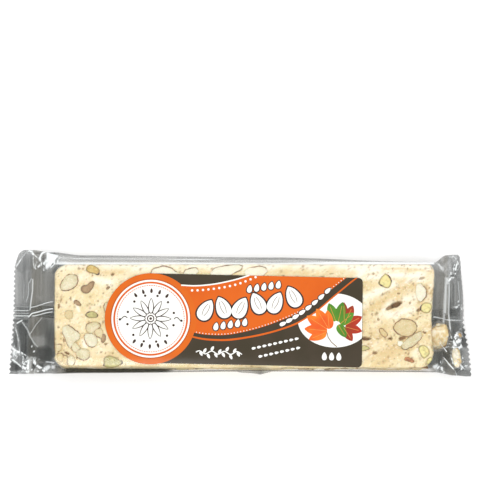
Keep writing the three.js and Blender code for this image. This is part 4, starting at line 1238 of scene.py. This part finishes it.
def plates(name, shapes, low, high, step=0.0, spacing=2.5):
    """Thin closed sheets as one piece. Each shape is its outline, with an outline for each hole.
    Each stands a step higher than the last, so that they can overlap."""
    points, faces = [], []
    for order, loops in enumerate(shapes):
        flat, edges = [], []
        for loop in loops:
            edges += [(len(flat) + k, len(flat) + (k + 1) % len(loop)) for k in range(len(loop))]
            flat += [Vector(p) for p in loop]
        (low_u, low_v), (high_u, high_v) = np.min(flat, axis=0), np.max(flat, axis=0)
        flat += [Vector((u, v)) for u in np.arange(low_u, high_u, spacing)[1:]
                 for v in np.arange(low_v, high_v, spacing)[1:]]
        cut, _, triangles, *_ = delaunay_2d_cdt(flat, edges, [], 1, 1e-6)
        middles = np.array([(cut[a] + cut[b] + cut[c]) / 3 for a, b, c in triangles])
        solid = inside(loops[0], *middles.T)
        for hole in loops[1:]:
            solid &= ~inside(hole, *middles.T)
        triangles = [triangle for triangle, keep in zip(triangles, solid) if keep]
        used = sorted({i for triangle in triangles for i in triangle})
        number = {old: len(points) + new for new, old in enumerate(used)}
        local = np.array([cut[i] for i in used])
        placed = DISC_MIDDLE + np.stack(rotated(*local.T, LABEL_TURN), axis=1)
        for z in (high + order * step, low):
            points += sagged(np.column_stack([placed, np.full(len(used), z)])).tolist()
        top = [[number[i] for i in triangle] for triangle in triangles]
        sides = {(t[k], t[(k + 1) % 3]) for t in top for k in range(3)}
        down = len(used)
        faces += top + [[i + down for i in reversed(t)] for t in top]
        faces += [[a + down, b + down, b, a] for a, b in sides if (b, a) not in sides]
    made = piece(name, points, faces)
    made.data.set_sharp_from_angle(angle=math.radians(40))
    return made


def printed(name, shapes, high, shade, other, low=LABEL_HIGH - 0.01, step=0.0):
    """Ink of one colour on the label, from low to high, glossy, with its print's faint unevenness."""
    made = plates(name, shapes, low, high, step)
    mix = finished(made, name + "_ink")
    tone = mix.cloud(9, 3).ease(0.3, 0.7).blend(shade, other)
    mix.surface(mix.body(tone, 0.16, {
        "Specular IOR Level": 0.35, "Normal": mix.bump(mix.cloud(3, 2), 0.02, 0.4)}))
    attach(made, "root")
    return made


join = math.degrees(math.atan2(LABEL_REAR, math.sqrt(DISC_RADIUS**2 - LABEL_REAR**2)))
join_front = 360 + math.degrees(math.atan2(LABEL_FRONT, math.sqrt(DISC_RADIUS**2 - LABEL_FRONT**2)))
label_outline = arc((0, 0), DISC_RADIUS, join, join_front, 120)
corner_x = LABEL_RIGHT - LABEL_CORNER
label_outline += arc((corner_x, LABEL_FRONT + LABEL_CORNER), LABEL_CORNER, -90, 0, 10)
label_outline += arc((corner_x, LABEL_REAR - LABEL_CORNER), LABEL_CORNER, 0, 90, 10)
label = printed("label_stock", [[label_outline]], LABEL_HIGH, (62, 52, 38), (56, 48, 32), low=LABEL_LOW)
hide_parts("label")

# ---------------------------------------------------------------------------------------------
# Print: flat inks on the stock, an orange disc and swept band with a thin orange line under it,
# a white disc and oval, white lines and dots, and plain almond, blossom and leaf shapes.
# ---------------------------------------------------------------------------------------------
BAND_TOP = [(11.9, 13.9), (16.5, 13.75), (20.7, 14.0), (25.9, 14.75), (31.2, 15.95), (34.9, 17.0),
            (38.4, 18.2), (39.4, 18.6)]
BAND_LOW = [(16.0, -5.0), (21.1, -5.9), (26.4, -6.14), (31.7, -5.8), (38.8, -4.3), (45.7, -2.2), (52.6, 0.5),
            (59.5, 3.7), (66.3, 8.1), (73.1, 13.85), (78.7, 18.45)]
LINE_TOP = [(16.0, -6.5), (21.2, -7.4), (26.4, -7.7), (31.8, -7.5), (38.9, -6.4), (45.8, -4.85),
            (52.7, -2.75), (59.6, 0.15), (66.4, 4.6), (73.2, 10.65), (80.0, 16.6), (82.4, 18.45)]
LINE_LOW = [(16.0, -7.1), (21.2, -8.15), (26.4, -8.45), (31.8, -8.3), (38.9, -7.15), (45.8, -5.6),
            (52.7, -3.5), (59.6, -0.65), (66.4, 3.7), (73.2, 9.85), (80.0, 15.8), (83.2, 18.45)]
OVAL_MIDDLE, OVAL_SIZE = (73.9, 0.95), (14.6, 11.0)


def smooth_line(points, steps=6):
    """Points of a smooth curve through these points."""
    p = np.array([2 * np.array(points[0]) - points[1], *points, 2 * np.array(points[-1]) - points[-2]])
    t = np.linspace(0, 1, steps, endpoint=False)[:, None]
    curve = [0.5 * (2 * b + (c - a) * t + (2 * a - 5 * b + 4 * c - d) * t**2 + (3 * b - a - 3 * c + d) * t**3)
             for a, b, c, d in zip(p, p[1:], p[2:], p[3:])]
    return [tuple(q) for q in np.concatenate(curve)] + [tuple(points[-1])]


def stroke(points, width):
    """Outline of a line of even width."""
    line = np.array(points)
    run = np.gradient(line, axis=0)
    side = np.stack([-run[:, 1], run[:, 0]], axis=1) / np.linalg.norm(run, axis=1)[:, None] * width / 2
    return [tuple(q) for q in np.concatenate([line - side, (line + side)[::-1]])]


def dot(middle, radius):
    """Outline of a round spot."""
    steps = 24 if radius < 2 else 144
    return arc(middle, radius, 0, 360 - 360 / steps, steps - 1)


def almond_shape(middle, length, width, turn, grow=0.0):
    """Outline of an almond, pointed at one end."""
    a = np.linspace(0, 2 * math.pi, 36, endpoint=False)
    u = (length / 2 + grow) * np.cos(a)
    v = (width / 2 + grow) * np.sin(a) * (1 - 0.32 * np.cos(a)) * (1 - held(np.cos(a)) ** 6 * 0.5)
    u, v = rotated(u, v, turn)
    return list(zip((middle[0] + u).tolist(), (middle[1] + v).tolist()))


def even_spots(points, pitch, inset=0.0):
    """Points at an even pitch along a smooth line, set in from it."""
    line = np.array(smooth_line(points, 12))
    run = np.concatenate([[0], np.cumsum(np.linalg.norm(np.diff(line, axis=0), axis=1))])
    at = np.arange(pitch, run[-1] - pitch / 2, pitch)
    spots, ahead = (np.stack([np.interp(a, run, side) for side in line.T], axis=1) for a in (at, at + 0.1))
    ahead -= spots
    side = np.stack([-ahead[:, 1], ahead[:, 0]], axis=1) / np.linalg.norm(ahead, axis=1)[:, None]
    return spots + inset * side


band = smooth_line(BAND_LOW) + [(39.4, 18.45)] + smooth_line(BAND_TOP)[::-1][1:]
thin_line = smooth_line(LINE_LOW) + smooth_line(LINE_TOP)[::-1]
printed("orange_disc", [[dot((0, 0), DISC_RADIUS - 0.01)]], 12.912, (208, 98, 14), (200, 92, 10))
printed("orange_band", [[band], [thin_line]], 12.908, (208, 94, 12), (202, 88, 8))

oval = [(OVAL_MIDDLE[0] + OVAL_SIZE[0] * math.cos(t), OVAL_MIDDLE[1] + OVAL_SIZE[1] * math.sin(t))
        for t in np.linspace(0, 2 * math.pi, 90, endpoint=False)]
oval = [(min(u, LABEL_RIGHT - 0.1), min(v, np.interp(u, *np.array(LINE_LOW).T))) for u, v in oval]
upper_dots = even_spots([(14.2, 11.8), (18.6, 11.93), (23.0, 12.4), (29.6, 13.5), (36.05, 15.3),
                         (44.3, 18.9)], 2.2)
band_dots = even_spots(BAND_LOW, 1.29, 0.38)
whites = [[dot((0, 0), 15.8)], [stroke(smooth_line(BAND_TOP), 0.55)], [oval]]
whites += [[dot(spot, 0.48)] for spot in upper_dots] + [[dot(spot, 0.2)] for spot in band_dots[1:]]
printed("white_print", whites, 12.925, (236, 236, 231), (231, 231, 225))

printed("ring_shade", [[dot((0, 0), 16.25), dot((0, 0), 15.7)]], 12.918, (176, 78, 12), (168, 74, 10))
ring = [[dot((0, 0), 15.05), dot((0, 0), 14.3)]]
dashes = [[stroke(arc((0, 0), 13.5, a, a + 2.8, 2), 0.3)] for a in np.arange(0, 360, 4)]
printed("thin_orange_rings", ring + dashes, 12.94, (204, 92, 24), (198, 86, 18))

# A row of almonds on the band, smaller ones over and under it, and leaves on a twig below
ALMOND_ROW = [(22.2, 4.0, 62), (29.0, 5.2, 114), (36.1, 5.2, 64), (43.0, 7.2, 116), (50.2, 7.6, 66),
              (57.3, 10.2, 118)]
small_almonds = [((39.6 + 2.9 * k, 13.0 + 0.5 * k), 3.2, 1.9, 80) for k in range(5)]
small_almonds += [((26.4 + 2.9 * k, -2.6 + 0.5 * k), 3.2, 1.9, 80) for k in range(5)]
row = [((u, v), 9.0, 5.6, turn) for u, v, turn in ALMOND_ROW]
swept = [((53.4 + 2.55 * k, -0.9 + 1.35 * k + 0.09 * k * k), 3.0, 1.5, 26 + 3 * k) for k in range(8)]
dark = [[almond_shape(*shape, rim)] for shapes, rim in ((row, 0.62), (small_almonds, 0.4), (swept, 0.35))
        for shape in shapes]


def moved(middle, distance, turn):
    """The place at this distance from a middle, at an angle."""
    u, v = rotated(distance, 0, turn)
    return middle[0] + u, middle[1] + v


for k in range(12):
    turn = 30 * k
    petal = moved((0, 0), 5.2, turn)
    dark.append([almond_shape(petal, 6.4, 2.3, turn), almond_shape(petal, 6.4, 2.3, turn, -0.36)])
    dark.append([dot(moved((0, 0), 9.6, turn + 15), 0.5)])
dark.append([dot((0, 0), 1.5), dot((0, 0), 1.05)])
dark.append([dot((0, 0), 0.55)])
for side in (-1, 1):
    for k in range(5):
        turn = side * 90 + 17 * (k - 2)
        dark.append([almond_shape(moved((0, 0), 11.4, turn), 2.0, 1.0, turn)])
    bend = [(side * u, 0.7 * math.sin(1.5 * (u - 9.4))) for u in np.linspace(9.4, 12.2, 12)]
    dark += [[stroke(bend, 0.36)], [dot((side * 12.4, -0.6), 0.5)]]
printed("dark_print", dark, 12.94, (60, 42, 36), (52, 38, 32))

tops = [[almond_shape(*shape)] for shape in row + small_almonds + swept]
twig = [(18.6 + 0.5 * k, -13.2 + 0.6 * math.sin(0.62 * k)) for k in range(38)]
tops.append([stroke(twig, 0.42)])
for k in range(11):
    turn = 62 if k % 2 else -62
    tops.append([almond_shape(moved(twig[3 * k + 3], 1.3, turn), 2.0, 1.1, turn)])
for first, count in (((41.8, -11.1), 9), ((44.6, -14.3), 8)):
    tops += [[almond_shape((first[0] + 2.15 * k, first[1] + 0.53 * k), 1.7, 1.0, 14)] for k in range(count)]
tops += [[almond_shape((u, -13.7), 3.2, 1.9, 90)] for u in (70.2, 73.1, 76.0)]
printed("white_shapes", tops, 12.955, (238, 238, 234), (233, 233, 228))
grain = []
for (u, v), length, width, turn in row:
    for offset in (-0.9, 0.9):
        t = np.linspace(-2.6, 2.6, 9)
        line = np.stack(rotated(t, offset * (1 - t * t / 12), turn), axis=1) + (u, v)
        grain.append([stroke(line, 0.24)])
printed("almond_grain", grain, 12.965, (120, 104, 92), (110, 94, 84))

# Leaves in the oval, as (foot, length, width, turn), each with a pale midrib
LEAVES = {
    "orange_leaves": (12.9505, (214, 82, 26), (230, 132, 36), [
        ((71.2, -3.4), 9.2, 4.6, 176), ((71.0, -2.6), 9.6, 4.6, 148), ((71.4, -2.0), 8.8, 4.4, 122),
        ((70.8, -4.0), 7.6, 3.8, 204), ((72.0, -2.6), 7.6, 3.8, 96)]),
    "green_leaves": (12.9405, (88, 140, 40), (70, 120, 34), [
        ((74.6, 0.6), 7.8, 4.2, 112), ((75.6, 0.4), 8.2, 4.2, 78), ((76.4, -0.4), 7.0, 3.8, 40),
        ((75.6, -0.8), 6.0, 3.4, -58)]),
    "red_leaves": (12.928, (168, 48, 26), (138, 52, 26), [
        ((78.2, -0.2), 8.0, 4.0, 66), ((78.6, -0.8), 7.4, 4.0, 28), ((78.4, -1.6), 7.0, 3.8, -14),
        ((77.8, -2.0), 6.4, 3.6, -56), ((78.0, 0.8), 7.6, 3.4, 92)]),
}
ribs = []
for name, (high, shade, other, leaves) in LEAVES.items():
    shapes = []
    for foot, length, width, turn in leaves:
        shapes.append([almond_shape(moved(foot, length / 2, turn), length, width, turn)])
        ribs.append([stroke([moved(foot, share * length, turn) for share in (0, 0.4, 0.8)], 0.16)])
    printed(name, shapes, high, shade, other, step=0.0024)
printed("leaf_ribs", ribs, 12.965, (222, 150, 70), (206, 140, 66))
printed("leaf_stem", [[stroke([(70.9, -3.4), (71.6, -6.0), (73.0, -8.0), (75.2, -9.8)], 0.32)]], 12.95,
        (120, 92, 64), (104, 80, 56))

# ---------------------------------------------------------------------------------------------
# Floor and light: a plain pale table in an even white room, under two large soft lamps. The
# stronger one hangs high on the front side, and the other stands lower at the rear.
# ---------------------------------------------------------------------------------------------
FLOOR_SIZE = 4000
floor_corners = np.array([(-1, -1, 0), (1, -1, 0), (1, 1, 0), (-1, 1, 0)]) * FLOOR_SIZE / 2
floor = piece("floor", floor_corners, [(0, 1, 2, 3)])
mix = finished(floor, "table")
tone = mix.cloud(400).blend((250, 250, 250), (252, 252, 252))
mix.surface(mix.body(tone, 0.9, {"Specular IOR Level": 0.1}))


def lamp(name, place, size, watts):
    """A square soft lamp at a place in mm, turned to the origin."""
    data = bpy.data.lights.new(name, "AREA")
    data.size, data.energy = size * MM, watts
    made = bpy.data.objects.new(name, data)
    made.location = np.array(place) * MM
    made.rotation_euler = (-made.location).to_track_quat("-Z", "Y").to_euler()
    bpy.context.scene.collection.objects.link(made)


lamp("rear_lamp", (-150, 640, 720), 700, 2.7)
lamp("overhead_lamp", (0, -330, 850), 600, 4.2)
world = bpy.data.worlds.new("room")
world.use_nodes = True
world.node_tree.nodes["Background"].inputs["Color"].default_value = (1, 1, 1, 1)
world.node_tree.nodes["Background"].inputs["Strength"].default_value = 0.8
bpy.context.scene.world = world
bpy.context.scene.view_settings.view_transform = "Standard"
